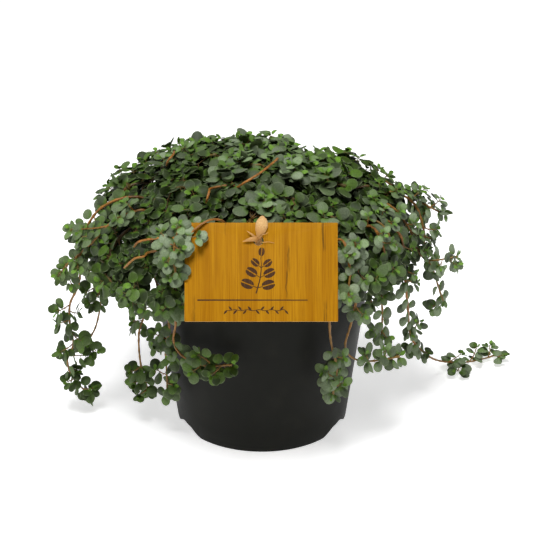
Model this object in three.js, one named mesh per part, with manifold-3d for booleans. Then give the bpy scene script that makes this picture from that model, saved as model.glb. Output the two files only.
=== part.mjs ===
// A potted trailing pilea, built the way the real one is: a tapered nursery pot, its soil plug,
// a wooden tag hung on a raffia strip, and separate rooted shoots that fill a low crown and
// trail over the rim. Millimetres, +Z up, the front of the plant faces -Y, and the origin is
// the centre of the pot's base, on the surface that it stands on.

import * as THREE from "three";
import { mergeVertices } from "three/addons/utils/BufferGeometryUtils.js";
import Module from "manifold-3d";

const wasm = await Module();
wasm.setup();

// ---------------------------------------------------------------- driving dimensions (mm)

const GAP = 0.3;

const POT = {
  height: 140, baseRadius: 56, wallTopRadius: 73, lipRadius: 75,
  lipHeight: 6, wall: 1.6, floor: 2, sides: 60,
};

const DRAIN = {
  notches: 3, notchHeight: 4.8, notchHalfWidth: 17.8, notchDepth: 12, notchSteps: 8,
  holes: 6, holeRadius: 3.5, holeCircle: 34, holeSides: 12,
};

const SOIL = { edgeHeight: 128, mound: 3, rings: 4 };

const TAG = {
  width: 88, height: 57, thickness: 3, corner: 1.2, topY: -80, topZ: 169, lean: 30.6,
  holeRadius: 3, holeX: -1.6, holeDrop: 10.4, arcSteps: 8,
};

// The strip is narrow in the hole and widest where it lies on the tag's face. Each pair holds
// a share of its length and half its width there.
const RAFFIA = {
  thickness: 0.6, steps: 28,
  halfWidths: [[0, 1], [0.13, 1.1], [0.19, 1.9], [0.27, 3.4], [0.36, 4.1], [0.44, 3.9], [0.5, 3.2],
    [0.62, 2.2], [1, 2.1]],
};

const CROWN = {
  centreHeight: 118, rise: 69, slope: 10, roundness: 1.65, lowestPolar: 94, skirtTilt: 6,
  tipShare: 0.95, sideBias: 1.3, shoots: 30, twigs: 78, soilSpread: 57, archHeight: 168,
  archGain: 0.3, lipClear: 4,
};

const STEM = {
  radius: 0.85, tipShare: 0.7, leaningLift: 0.55, nodeHalf: 0.55,
  longestRun: 16,
  clearance: 3.2, turnStep: 4,
};
const TWIG = { radius: 0.55, lowest: 0.45, highest: 0.82, bow: 0.24 };
const LEAF = {
  length: 9.2, width: 8.4, thickness: 0.8, widest: 0.52, lean: 0.3,
  pairSpacing: 15.5, bareRoot: 38, tipScale: 0.75,
};

const GOLDEN_ANGLE = Math.PI * (3 - Math.sqrt(5));
const UP = new THREE.Vector3(0, 0, 1);

// Trailing shoots. Each leaves the soil at root [x, y] and runs through its points. The first
// fifteen follow the trails that hang in view; the rest finish the sides and the back.
const TRAILS = [
  { root: [-48, -10], route: [[-72, -12, 156], [-98, -15, 152], [-112, -17, 130], [-115, -18, 102],
    [-122, -16, 85], [-123, -14, 67], [-122, -12, 54], [-127, -8, 40], [-124, -5, 25], [-114, -4, 12]] },
  { root: [-46, -24], route: [[-68, -34, 157], [-90, -34, 150], [-106, -32, 133], [-121, -31, 119]] },
  { root: [-53, 6], route: [[-74, 6, 149], [-92, -2, 139], [-101, -8, 118], [-104, -9, 98],
    [-103, -9, 85], [-107, -8, 66], [-113, -7, 54]] },
  { root: [-54, -18], route: [[-73, -25, 146], [-81, -28, 126], [-77, -27, 97], [-74, -26, 84],
    [-78, -25, 69], [-78, -22, 46], [-74, -20, 24]] },
  { root: [-46, -36], route: [[-64, -47, 146], [-66, -50, 126], [-60, -50, 104], [-57, -47, 84],
    [-60, -44, 70], [-60, -42, 54], [-60, -40, 33]] },
  { root: [-34, -46], route: [[-49, -62, 146], [-52, -66, 122], [-52, -62, 96], [-54, -57, 80],
    [-48, -62, 72], [-34, -70, 70], [-18, -76, 74]] },
  { root: [-20, -52], route: [[-37, -70, 160], [-47, -81, 166], [-50, -91, 156], [-49, -97, 143]] },
  { root: [53, 3], route: [[76, 6, 152], [95, 5, 147], [103, 2, 128], [103, 0, 114],
    [109, 0, 104], [112, 0, 95], [117, 0, 80]] },
  { root: [51, -8], route: [[74, -12, 153], [91, -13, 138], [98, -13, 121], [106, -12, 114],
    [123, -11, 116]] },
  { root: [47, -27], route: [[65, -38, 149], [74, -43, 136], [75, -42, 118], [74, -40, 103],
    [75, -39, 90], [75, -38, 75]] },
  { root: [51, -18], route: [[72, -25, 148], [85, -27, 138], [88, -25, 124], [90, -23, 105],
    [93, -16, 82], [96, -3, 60], [100, 8, 46], [108, 22, 31], [117, 36, 18], [128, 48, 9],
    [142, 56, 4.5], [156, 63, 3.5], [165, 67, 4.5]] },
  { root: [27, -50], route: [[38, -67, 147], [41, -71, 126], [41, -69, 98], [42, -69, 86],
    [46, -68, 66], [44, -66, 48]] },
  { root: [40, -41], route: [[54, -56, 147], [58, -62, 122], [55, -62, 98], [51, -63, 80],
    [56, -60, 70], [67, -53, 64], [86, -45, 63]] },
  { root: [34, -45], route: [[47, -61, 150], [52, -71, 137], [51, -78, 121]] },
  { root: [38, 30], route: [[66, 26, 156], [90, 16, 149], [106, 9, 142], [116, 6, 138]] },
  { root: [50, 17], route: [[73, 27, 147], [86, 34, 130], [88, 37, 104], [92, 38, 80]] },
  { root: [42, 34], route: [[60, 49, 147], [72, 59, 126], [74, 62, 98], [71, 64, 70], [76, 66, 46]] },
  { root: [28, 46], route: [[40, 66, 149], [48, 82, 134], [50, 88, 112], [47, 90, 92]] },
  { root: [12, 53], route: [[17, 76, 147], [20, 89, 124], [18, 91, 94], [21, 90, 64], [17, 93, 38]] },
  { root: [-6, 54], route: [[-9, 76, 150], [-14, 93, 138], [-17, 100, 117]] },
  { root: [-22, 49], route: [[-32, 69, 147], [-41, 81, 122], [-42, 85, 90], [-38, 86, 62]] },
  { root: [-37, 39], route: [[-54, 56, 148], [-67, 68, 130], [-71, 72, 104], [-68, 73, 80]] },
  { root: [-48, 24], route: [[-68, 35, 147], [-84, 43, 126], [-88, 45, 96], [-84, 44, 66], [-88, 42, 40]] },
];

// ---------------------------------------------------------------- materials

function finish(color, roughness) {
  return new THREE.MeshStandardMaterial({ color, roughness, metalness: 0 });
}

const potPlastic = finish(0x242421, 0.55);
const moistSoil = finish(0x33261c, 0.95);
const stainedWood = finish(0xc2861c, 0.6);
const dryRaffia = finish(0xc9a877, 0.8);
const crownGreen = finish(0x5f7f63, 0.6);
const trailGreen = finish(0x527a50, 0.6);

// ---------------------------------------------------------------- solids

function solidOf(geometry) {
  const plain = geometry.clone();
  plain.deleteAttribute("normal");
  plain.deleteAttribute("uv");
  const merged = mergeVertices(plain, 1e-4);
  return new wasm.Manifold(new wasm.Mesh({
    numProp: 3,
    vertProperties: Float32Array.from(merged.attributes.position.array),
    triVerts: Uint32Array.from(merged.index.array),
  }));
}

function meshOf(name, solid, material) {
  const { vertProperties, triVerts } = solid.getMesh();
  const geometry = new THREE.BufferGeometry();
  geometry.setAttribute("position", new THREE.BufferAttribute(vertProperties, 3));
  geometry.setIndex(new THREE.BufferAttribute(triVerts, 1));
  geometry.computeVertexNormals();
  const mesh = new THREE.Mesh(geometry, material);
  mesh.name = name;
  return mesh;
}

function turned(points, sides) {
  const outline = points.map(([radius, height]) => new THREE.Vector2(radius, height));
  return new THREE.LatheGeometry(outline, sides).rotateX(Math.PI / 2);
}

// ---------------------------------------------------------------- pot and soil

function wallRadius(height) {
  const rise = (POT.wallTopRadius - POT.baseRadius) / (POT.height - POT.lipHeight);
  return POT.baseRadius + rise * height;
}

function soilHeight(radius) {
  const edge = wallRadius(SOIL.edgeHeight) - POT.wall - GAP;
  return SOIL.edgeHeight + SOIL.mound * (1 - (radius / edge) ** 2);
}

// An arched cutter, as wide as one notch, that reaches in from the pot's outer edge.
function notchCutter(azimuth) {
  const outline = [new THREE.Vector2(DRAIN.notchHalfWidth, -1)];
  for (let i = 0; i <= DRAIN.notchSteps; i += 1) {
    const across = 1 - (2 * i) / DRAIN.notchSteps;
    const height = DRAIN.notchHeight * Math.cos((Math.PI / 2) * across);
    outline.push(new THREE.Vector2(across * DRAIN.notchHalfWidth, height));
  }
  outline.push(new THREE.Vector2(-DRAIN.notchHalfWidth, -1));
  const depth = DRAIN.notchDepth + POT.wall;
  const cutter = new THREE.ExtrudeGeometry(new THREE.Shape(outline), { depth, bevelEnabled: false });
  cutter.translate(0, 0, POT.baseRadius - DRAIN.notchDepth);
  cutter.rotateX(Math.PI / 2);
  return solidOf(cutter.rotateZ(azimuth));
}

function drainHole(azimuth) {
  const depth = 3 * POT.floor;
  const hole = new THREE.CylinderGeometry(DRAIN.holeRadius, DRAIN.holeRadius, depth, DRAIN.holeSides);
  hole.rotateX(Math.PI / 2);
  hole.translate(DRAIN.holeCircle * Math.cos(azimuth), DRAIN.holeCircle * Math.sin(azimuth), 0);
  return solidOf(hole);
}

function makePot() {
  const lipBase = POT.height - POT.lipHeight;
  let pot = solidOf(turned([
    [0, 0], [POT.baseRadius, 0], [POT.wallTopRadius, lipBase], [POT.lipRadius, lipBase + 0.8],
    [POT.lipRadius, POT.height - 0.8], [POT.lipRadius - 0.8, POT.height],
    [POT.wallTopRadius - POT.wall, POT.height], [POT.wallTopRadius - POT.wall, lipBase],
    [wallRadius(POT.floor) - POT.wall, POT.floor], [0, POT.floor],
  ], POT.sides));
  for (let i = 0; i < DRAIN.notches; i += 1) {
    pot = pot.subtract(notchCutter(Math.PI / 3 + (2 * Math.PI * i) / DRAIN.notches));
  }
  for (let i = 0; i < DRAIN.holes; i += 1) {
    pot = pot.subtract(drainHole((2 * Math.PI * i) / DRAIN.holes));
  }
  return pot;
}

function makeSoil() {
  const bottom = POT.floor + GAP;
  const inset = POT.wall + GAP;
  const edge = wallRadius(SOIL.edgeHeight) - inset;
  const outline = [[0, bottom], [wallRadius(bottom) - inset, bottom], [edge, SOIL.edgeHeight]];
  for (let i = SOIL.rings - 1; i >= 0; i -= 1) {
    const radius = (edge * i) / SOIL.rings;
    outline.push([radius, soilHeight(radius)]);
  }
  return solidOf(turned(outline, POT.sides));
}

// ---------------------------------------------------------------- tag and raffia tie

// The tag's own frame: x across, y up the plate from its top edge, z out of its front face.
function tagFrame() {
  const frame = new THREE.Matrix4().makeRotationX(THREE.MathUtils.degToRad(90 - TAG.lean));
  return frame.setPosition(0, TAG.topY, TAG.topZ);
}

function makeTag() {
  const half = TAG.width / 2;
  const c = TAG.corner;
  const plate = new THREE.Shape();
  plate.moveTo(-half + c, -TAG.height);
  plate.absarc(half - c, -TAG.height + c, c, -Math.PI / 2, 0);
  plate.absarc(half - c, -c, c, 0, Math.PI / 2);
  plate.absarc(-half + c, -c, c, Math.PI / 2, Math.PI);
  plate.absarc(-half + c, -TAG.height + c, c, Math.PI, 1.5 * Math.PI);
  const hole = new THREE.Path();
  hole.absarc(TAG.holeX, -TAG.holeDrop, TAG.holeRadius, 0, 2 * Math.PI, true);
  plate.holes.push(hole);
  const options = { depth: TAG.thickness, bevelEnabled: false, curveSegments: TAG.arcSteps };
  const geometry = new THREE.ExtrudeGeometry(plate, options).translate(0, 0, -TAG.thickness);
  return solidOf(geometry.applyMatrix4(tagFrame()));
}

function raffiaHalfWidth(share) {
  const next = RAFFIA.halfWidths.findIndex(([mark]) => mark >= share && mark > 0);
  const [[from, narrow], [to, wide]] = RAFFIA.halfWidths.slice(next - 1, next + 1);
  return narrow + ((wide - narrow) * (share - from)) / (to - from);
}

// The strip comes through the hole, up the face, over the top edge and down to the pot's lip.
function makeRaffia() {
  const along = [
    [-TAG.holeDrop - 0.3, -TAG.thickness - 3], [-TAG.holeDrop, -TAG.thickness], [-TAG.holeDrop + 0.1, -0.4],
    [-TAG.holeDrop + 2.2, 1.3], [-4, 1.5], [0, 1.4], [2.4, -0.8], [1.8, -TAG.thickness - 1.6],
  ].map(([up, out]) => new THREE.Vector3(TAG.holeX, up, out).applyMatrix4(tagFrame()));
  along.push(new THREE.Vector3(TAG.holeX, -76.5, 158));
  along.push(new THREE.Vector3(TAG.holeX, -74, POT.height + GAP + 0.1));
  const curve = new THREE.CatmullRomCurve3(along, false, "catmullrom", 0.5);
  const across = new THREE.Vector3(1, 0, 0);
  const skin = new Skin();
  const rings = Array.from({ length: RAFFIA.steps + 1 }, (_, i) => {
    const share = i / RAFFIA.steps;
    const centre = curve.getPointAt(share);
    const out = new THREE.Vector3().crossVectors(curve.getTangentAt(share), across);
    const half = across.clone().multiplyScalar(raffiaHalfWidth(share));
    const thick = out.multiplyScalar(RAFFIA.thickness / 2);
    return skin.ring([
      centre.clone().sub(half).sub(thick), centre.clone().add(half).sub(thick),
      centre.clone().add(half).add(thick), centre.clone().sub(half).add(thick),
    ]);
  });
  skin.foot(rings[0]);
  rings.slice(1).forEach((ring, i) => skin.wall(rings[i], ring));
  skin.cap(rings[RAFFIA.steps]);
  return skin.solid();
}

// ---------------------------------------------------------------- crown surface

function crownReach(azimuth) {
  const sides = 102 - 4 * Math.cos(azimuth) + 7 * Math.sin(azimuth) + 12 * Math.cos(2 * azimuth);
  return sides + 3 * Math.sin(5 * azimuth + 1);
}

// Where a stem or twig ends in this direction, just under the crown's leafy surface. The crown
// slopes away to the right.
function crownPoint(polar, azimuth) {
  const n = CROWN.roundness;
  const rise = CROWN.rise - CROWN.slope * Math.sin(polar) * Math.cos(azimuth);
  const flat = (Math.sin(polar) / crownReach(azimuth)) ** n;
  const tall = (Math.abs(Math.cos(polar)) / rise) ** n;
  const distance = CROWN.tipShare * (flat + tall) ** (-1 / n);
  return new THREE.Vector3(
    distance * Math.sin(polar) * Math.cos(azimuth),
    distance * Math.sin(polar) * Math.sin(azimuth),
    CROWN.centreHeight + distance * Math.cos(polar),
  );
}

// The i-th of count directions spread evenly over the crown, from its top to its skirt, which
// hangs lower on the left than on the right.
function crownDirection(i, count) {
  const share = ((i + 0.5) / count) ** CROWN.sideBias;
  const azimuth = i * GOLDEN_ANGLE;
  const tilt = CROWN.skirtTilt * Math.cos(azimuth);
  const lowest = Math.cos(THREE.MathUtils.degToRad(CROWN.lowestPolar - tilt));
  return { polar: Math.acos(1 - (1 - lowest) * share), azimuth };
}

// ---------------------------------------------------------------- stem routes

// A stem's first point, lifted so that the low edge of its slanted foot clears the soil.
function onSoil(x, y, lift) {
  return new THREE.Vector3(x, y, soilHeight(Math.hypot(x, y)) + GAP + lift);
}

function trailCurve({ root, route }) {
  const points = [onSoil(...root, STEM.leaningLift), ...route.map((point) => new THREE.Vector3(...point))];
  return new THREE.CatmullRomCurve3(points, false, "catmullrom", 0.5);
}

// Moves a point beside the pot's lip outwards, so that a stem can hang down there.
function clearLip(point) {
  const reach = Math.hypot(point.x, point.y);
  const share = Math.max(1, (POT.lipRadius + CROWN.lipClear) / reach);
  point.x *= share;
  point.y *= share;
}

function crownCurve(polar, azimuth) {
  const end = crownPoint(polar, azimuth);
  const low = end.z < POT.height + CROWN.lipClear;
  if (low) clearLip(end);
  const reach = Math.hypot(end.x, end.y);
  const spread = CROWN.soilSpread * Math.min(1, reach / crownReach(azimuth));
  const root = onSoil(spread * Math.cos(azimuth), spread * Math.sin(azimuth), 0);
  const arch = root.clone().add(end).multiplyScalar(0.5);
  if (low) clearLip(arch);
  arch.z = Math.max(end.z + CROWN.archGain * (reach - spread), CROWN.archHeight);
  const lean = Math.hypot(arch.x - root.x, arch.y - root.y) / arch.distanceTo(root);
  root.z += STEM.radius * lean;
  return new THREE.QuadraticBezierCurve3(root, arch, end);
}

function nearest(curve, others) {
  let least = Infinity;
  for (const point of curve.getPoints(24)) {
    for (const other of others) {
      least = Math.min(least, point.distanceTo(other));
    }
  }
  return least;
}

// ---------------------------------------------------------------- growing a closed skin

// A closed skin under construction. Its rings hold four corners, counter-clockwise as seen
// from ahead, so that every wall between two rings faces outwards.
class Skin {
  points = [];

  faces = [];

  add(point) {
    this.points.push(point.x, point.y, point.z);
    return this.points.length / 3 - 1;
  }

  ring(corners) {
    return corners.map((corner) => this.add(corner));
  }

  side(from, to, k) {
    const next = (k + 1) % 4;
    this.faces.push(from[k], from[next], to[next], from[k], to[next], to[k]);
  }

  wall(from, to) {
    [0, 1, 2, 3].forEach((k) => this.side(from, to, k));
  }

  foot(ring) {
    this.faces.push(ring[0], ring[2], ring[1], ring[0], ring[3], ring[2]);
  }

  cap(ring) {
    this.faces.push(ring[0], ring[1], ring[2], ring[0], ring[2], ring[3]);
  }

  point(ring, apex) {
    const tip = this.add(apex);
    ring.forEach((corner, k) => this.faces.push(corner, ring[(k + 1) % 4], tip));
  }

  solid() {
    return new wasm.Manifold(new wasm.Mesh({
      numProp: 3,
      vertProperties: Float32Array.from(this.points),
      triVerts: Uint32Array.from(this.faces),
    }));
  }
}

// Square sections along a curve at the given shares of its length, without twist.
function sections(curve, shares, radiusAt, firstSide) {
  let across = firstSide.clone();
  return shares.map((share) => {
    const tangent = curve.getTangentAt(share);
    across = across.addScaledVector(tangent, -across.dot(tangent)).normalize().clone();
    const up = new THREE.Vector3().crossVectors(tangent, across);
    const centre = curve.getPointAt(share);
    const corners = [0, 1, 2, 3].map((k) => {
      const angle = (k + 0.5) * (Math.PI / 2);
      const offset = across.clone().multiplyScalar(Math.cos(angle)).addScaledVector(up, Math.sin(angle));
      return centre.clone().addScaledVector(offset, radiusAt(share));
    });
    return { share, centre, tangent, corners };
  });
}

// The order of one ring's corners that twists least against the ring below it.
function untwisted(corners, centre, below, belowCentre) {
  const turns = [0, 1, 2, 3].map((turn) => {
    const order = corners.map((_, k) => corners[(k + turn) % 4]);
    const match = order.reduce((sum, corner, k) => sum
      + corner.clone().sub(centre).normalize().dot(below[k].clone().sub(belowCentre).normalize()), 0);
    return { order, match };
  });
  return turns.reduce((best, other) => (other.match > best.match ? other : best)).order;
}

function middle(corners) {
  return corners.reduce((sum, corner) => sum.add(corner), new THREE.Vector3()).multiplyScalar(0.25);
}

// The four corners of side k of a node, where a leaf or twig grows out of the stem.
function nodeSide(lower, upper, k) {
  const next = (k + 1) % 4;
  return [lower.corners[k], lower.corners[next], upper.corners[next], upper.corners[k]];
}

// A flat blade: it widens from its foot on the stem to its middle, and comes to a tip.
function leafShape(foot, tangent, scale) {
  const base = middle(foot);
  const outward = new THREE.Vector3(base.x, base.y, 0).normalize();
  const out = foot[1].clone().sub(foot[0]).cross(foot[3].clone().sub(foot[0])).normalize();
  out.addScaledVector(tangent, LEAF.lean).normalize();
  const face = tangent.clone().addScaledVector(UP, 0.8).addScaledVector(outward, 0.8);
  face.addScaledVector(out, -face.dot(out)).normalize();
  const across = new THREE.Vector3().crossVectors(face, out);
  const centre = base.clone().addScaledVector(out, LEAF.length * LEAF.widest * scale);
  const half = across.multiplyScalar((LEAF.width / 2) * scale);
  const thick = face.multiplyScalar(LEAF.thickness / 2);
  const corners = [
    centre.clone().sub(half).sub(thick), centre.clone().add(half).sub(thick),
    centre.clone().add(half).add(thick), centre.clone().sub(half).add(thick),
  ];
  const tip = base.clone().addScaledVector(out, LEAF.length * scale);
  return { middleRing: untwisted(corners, centre, foot, base), tip };
}

function growLeaf(skin, footRing, { middleRing, tip }) {
  const ring = skin.ring(middleRing);
  skin.wall(footRing, ring);
  skin.point(ring, tip);
}

function leafSolid(foot, leaf) {
  const skin = new Skin();
  const ring = skin.ring(foot);
  skin.foot(ring);
  growLeaf(skin, ring, leaf);
  return skin.solid();
}

// ---------------------------------------------------------------- room for each piece

// Every solid placed so far, with its box and its owner, so that a leaf or twig is left off
// where something else already fills its place.
const placed = [];

function place(owner, solid) {
  placed.push({ owner, solid, box: solid.boundingBox() });
}

function boxesMeet(a, b) {
  return [0, 1, 2].every((axis) => a.min[axis] < b.max[axis] + GAP && b.min[axis] < a.max[axis] + GAP);
}

// True, and placed, where the solid stands clear of all but the stem that it grows from.
function fits(owner, solid, parent) {
  const box = solid.boundingBox();
  const clear = box.min[2] >= GAP && placed.every((other) => other.owner === parent
    || !boxesMeet(box, other.box) || solid.minGap(other.solid, 1) >= GAP);
  if (clear) place(owner, solid);
  return clear;
}

// ---------------------------------------------------------------- shoots

function label(kind, index) {
  return `${kind}_shoot_${String(index + 1).padStart(2, "0")}`;
}

// A bare stem and its nodes. Each node has two close sections, and its leaves or its twig grow
// from the sides between them.
function makeStem(name, curve, radius, nodeShares, firstSide) {
  const length = curve.getLength();
  const half = STEM.nodeHalf / length;
  const shares = [0];
  [...nodeShares, 1].forEach((share) => {
    const last = shares[shares.length - 1];
    const stop = share === 1 ? 1 : share - half;
    const runs = Math.max(1, Math.ceil(((stop - last) * length) / STEM.longestRun));
    for (let i = 1; i <= runs; i += 1) {
      shares.push(last + ((stop - last) * i) / runs);
    }
    if (share < 1) shares.push(share + half);
  });
  const radiusAt = (share) => radius * (1 - (1 - STEM.tipShare) * share);
  const rings = sections(curve, shares, radiusAt, firstSide);
  const nodes = nodeShares.map((share) => {
    const upper = rings.findIndex((ring) => ring.share >= share);
    return { upper, growth: new Map() };
  });
  return { name, curve, length, radius, rings, nodes };
}

function growStem(skin, stem, firstRing) {
  const rings = stem.rings.map(({ corners }, i) => (i === 0 ? firstRing : skin.ring(corners)));
  for (let i = 1; i < rings.length; i += 1) {
    const node = stem.nodes.find(({ upper }) => upper === i);
    for (let k = 0; k < 4; k += 1) {
      const growth = node?.growth.get(k);
      if (!growth) {
        skin.side(rings[i - 1], rings[i], k);
      } else {
        const next = (k + 1) % 4;
        const foot = [rings[i - 1][k], rings[i - 1][next], rings[i][next], rings[i][k]];
        if (growth.stem) growStem(skin, growth.stem, foot);
        else growLeaf(skin, foot, growth.leaf);
      }
    }
  }
  const last = stem.rings[stem.rings.length - 1];
  skin.point(rings[rings.length - 1], last.centre.clone().addScaledVector(last.tangent, stem.radius));
}

function shootSolid(stem) {
  const skin = new Skin();
  const root = skin.ring(stem.rings[0].corners);
  skin.foot(root);
  growStem(skin, stem, root);
  return skin.solid();
}

// Two opposite leaves at a node. Each pair stands a quarter turn from the pair before it.
function addPair(shoot, stem, index, scale) {
  const { upper, growth } = stem.nodes[index];
  [index % 2, (index % 2) + 2].forEach((k) => {
    const foot = nodeSide(stem.rings[upper - 1], stem.rings[upper], k);
    const leaf = leafShape(foot, stem.rings[upper].tangent, scale);
    if (fits(`${shoot} leaf`, leafSolid(foot, leaf), stem.name)) growth.set(k, { leaf });
  });
}

function makeTrails() {
  return TRAILS.map((trail, index) => {
    const curve = trailCurve(trail);
    const length = curve.getLength();
    const pairs = Math.floor((length - LEAF.bareRoot) / LEAF.pairSpacing) + 1;
    const fromTip = Array.from({ length: pairs }, (_, i) => 1 + (pairs - 1 - i) * LEAF.pairSpacing);
    const shares = fromTip.map((distance) => 1 - distance / length);
    return makeStem(label("trailing", index), curve, STEM.radius, shares, UP);
  });
}

function crownRoutes(trails) {
  const taken = trails.flatMap(({ curve }) => curve.getPoints(48));
  const routes = [];
  for (let i = 0; i < CROWN.shoots; i += 1) {
    const { polar, azimuth } = crownDirection(i, CROWN.shoots);
    let curve = crownCurve(polar, azimuth);
    for (let turn = 1; turn < 90 && nearest(curve, taken) < STEM.clearance; turn += 1) {
      const side = turn % 2 ? 1 : -1;
      const angle = side * Math.ceil(turn / 2) * THREE.MathUtils.degToRad(STEM.turnStep);
      curve = crownCurve(polar, azimuth + angle);
    }
    taken.push(...curve.getPoints(24));
    routes.push(curve);
  }
  return routes;
}

// The twig tips that each crown shoot reaches: every tip goes to the shoot that ends nearest.
function crownTips(routes) {
  const tips = routes.map(() => []);
  for (let i = 0; i < CROWN.twigs; i += 1) {
    const { polar, azimuth } = crownDirection(i, CROWN.twigs);
    const tip = crownPoint(polar, azimuth);
    const gaps = routes.map((curve) => curve.getPoint(1).distanceTo(tip));
    const owner = gaps.indexOf(Math.min(...gaps));
    if (gaps[owner] > LEAF.length) tips[owner].push({ tip, gap: gaps[owner] });
  }
  tips.forEach((list) => list.sort((a, b) => b.gap - a.gap));
  return tips;
}

function makeCrownShoots(trails) {
  const routes = crownRoutes(trails);
  const tips = crownTips(routes);
  return routes.map((curve, index) => {
    const reach = (TWIG.highest - TWIG.lowest) / Math.max(1, tips[index].length - 1);
    const shares = tips[index].map((_, i) => TWIG.lowest + i * reach);
    shares.push(0.92, 0.985);
    const stem = makeStem(label("crown", index), curve, STEM.radius, shares, new THREE.Vector3(1, 0, 0));
    return { stem, tips: tips[index] };
  });
}

// A twig grows from the side of its node that faces its tip, and ends in one leaf pair.
function addTwig(stem, index, { tip, gap }) {
  const { upper, growth } = stem.nodes[index];
  const lower = stem.rings[upper - 1];
  const facing = [0, 1, 2, 3].map((k) => {
    const foot = middle(nodeSide(lower, stem.rings[upper], k));
    return foot.clone().sub(lower.centre).dot(tip.clone().sub(lower.centre));
  });
  const k = facing.indexOf(Math.max(...facing));
  const foot = nodeSide(lower, stem.rings[upper], k);
  const start = middle(foot);
  const knee = start.clone().lerp(tip, 0.5).addScaledVector(UP, TWIG.bow * gap);
  const curve = new THREE.QuadraticBezierCurve3(start, knee, tip);
  const side = foot[1].clone().sub(foot[0]).normalize();
  const pairShare = 1 - (2 * STEM.nodeHalf) / curve.getLength();
  const twig = makeStem(`${stem.name} twig ${index}`, curve, TWIG.radius, [pairShare], side);
  const first = twig.rings[1];
  twig.rings[0].corners = foot;
  const order = untwisted(first.corners, first.centre, foot, start);
  const turn = first.corners.indexOf(order[0]);
  twig.rings.slice(1).forEach((ring) => {
    ring.corners = ring.corners.map((_, i) => ring.corners[(i + turn) % 4]);
  });
  if (!fits(twig.name, shootSolid(twig), stem.name)) return;
  growth.set(k, { stem: twig });
  addPair(stem.name, twig, 0, 1);
}

// ---------------------------------------------------------------- the whole plant

const holder = { pot: makePot(), soil: makeSoil(), wooden_tag: makeTag(), raffia_tie: makeRaffia() };
const holderFinish = {
  pot: potPlastic, soil: moistSoil, wooden_tag: stainedWood, raffia_tie: dryRaffia,
};
Object.entries(holder).forEach(([name, solid]) => place(name, solid));

const trails = makeTrails();
const crownShoots = makeCrownShoots(trails);
[...trails, ...crownShoots.map(({ stem }) => stem)].forEach((stem) => place(stem.name, shootSolid(stem)));

trails.forEach((stem) => stem.nodes.forEach((_, index) => {
  addPair(stem.name, stem, index, index === stem.nodes.length - 1 ? LEAF.tipScale : 1);
}));
crownShoots.forEach(({ stem, tips }) => {
  addPair(stem.name, stem, tips.length + 1, 1);
  addPair(stem.name, stem, tips.length, 1);
});
crownShoots.forEach(({ stem, tips }) => tips.forEach((tip, index) => addTwig(stem, index, tip)));

const plant = new THREE.Group();
Object.entries(holder).forEach(([name, solid]) => plant.add(meshOf(name, solid, holderFinish[name])));
trails.forEach((stem) => plant.add(meshOf(stem.name, shootSolid(stem), trailGreen)));
crownShoots.forEach(({ stem }) => plant.add(meshOf(stem.name, shootSolid(stem), crownGreen)));

export default plant;
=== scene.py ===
"""Potted trailing pilea: the looks of its pot, soil, wooden tag, raffia tie and leafy shoots.

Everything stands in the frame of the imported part: metres, +Z up, the front faces -Y, and the
origin is the centre of the pot's base. Each operator makes one piece or one group of like
pieces. A shoot follows the same route as the solid that it stands for, and carries the stems,
leaf pairs and side twigs that the solid only hints at.
"""

import math
import random

import bmesh
import bpy
import numpy as np
from bpy.props import FloatProperty, FloatVectorProperty, IntProperty, PointerProperty
from bpy.types import Operator, Panel, PropertyGroup
from mathutils import Matrix, Vector, noise


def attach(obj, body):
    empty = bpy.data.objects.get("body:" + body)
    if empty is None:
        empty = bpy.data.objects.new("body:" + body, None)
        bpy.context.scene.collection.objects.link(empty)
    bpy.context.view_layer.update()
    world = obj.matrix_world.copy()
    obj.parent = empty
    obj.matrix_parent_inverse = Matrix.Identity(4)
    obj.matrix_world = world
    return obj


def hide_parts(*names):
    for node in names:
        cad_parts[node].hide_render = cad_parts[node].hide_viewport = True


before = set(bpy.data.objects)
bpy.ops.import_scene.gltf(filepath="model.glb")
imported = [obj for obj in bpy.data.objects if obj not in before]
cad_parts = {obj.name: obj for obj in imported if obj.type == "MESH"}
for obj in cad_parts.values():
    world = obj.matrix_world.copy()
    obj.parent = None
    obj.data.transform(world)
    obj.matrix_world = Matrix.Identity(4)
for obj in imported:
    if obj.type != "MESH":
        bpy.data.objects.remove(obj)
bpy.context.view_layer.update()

bl_info = {
    "name": "Potted Trailing Pilea",
    "version": (1, 0, 0),
    "blender": (4, 5, 0),
    "location": "View3D > Sidebar > Plant",
    "description": "A trailing pilea in a nursery pot with a wooden tag",
    "category": "Add Mesh",
}

MM = 0.001
BODY = "root"
GOLDEN_ANGLE = math.pi * (3 - math.sqrt(5))
UP = np.array([0.0, 0.0, 1.0])
FRONT = np.array([0.0, -1.0, 0.0])


# ---------------------------------------------------------------- what a user would change


def length(default, name, description):
    return FloatProperty(
        name=name, description=description, default=default, unit="LENGTH", precision=5
    )


def colour(default, name, description):
    return FloatVectorProperty(
        name=name, description=description, default=default, subtype="COLOR", size=3, min=0, max=1
    )


class PLANT_PG_pot(PropertyGroup):
    """Sizes and colour of the nursery pot."""

    height: length(0.140, "Height", "From the base to the top of the lip")
    base_radius: length(0.056, "Base radius", "Outside radius of the wall at the base")
    wall_top_radius: length(0.073, "Wall top radius", "Outside radius of the wall under the lip")
    lip_radius: length(0.075, "Lip radius", "Outside radius of the lip")
    lip_height: length(0.006, "Lip height", "Height of the lip")
    wall: length(0.0016, "Wall", "Thickness of the wall")
    floor: length(0.002, "Floor", "Thickness of the floor")
    notch_height: length(0.0064, "Notch height", "Height of the scalloped notches in the base edge")
    notch_half_width: length(0.0178, "Notch half width", "Half the width of a notch")
    notch_depth: length(0.012, "Notch depth", "How far a notch reaches in from the base edge")
    hole_radius: length(0.0035, "Hole radius", "Radius of the drain holes")
    hole_circle: length(0.034, "Hole circle", "Radius of the circle that the drain holes stand on")
    plastic: colour((0.0055, 0.0059, 0.0038), "Plastic", "Colour of the moulded plastic")


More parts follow.
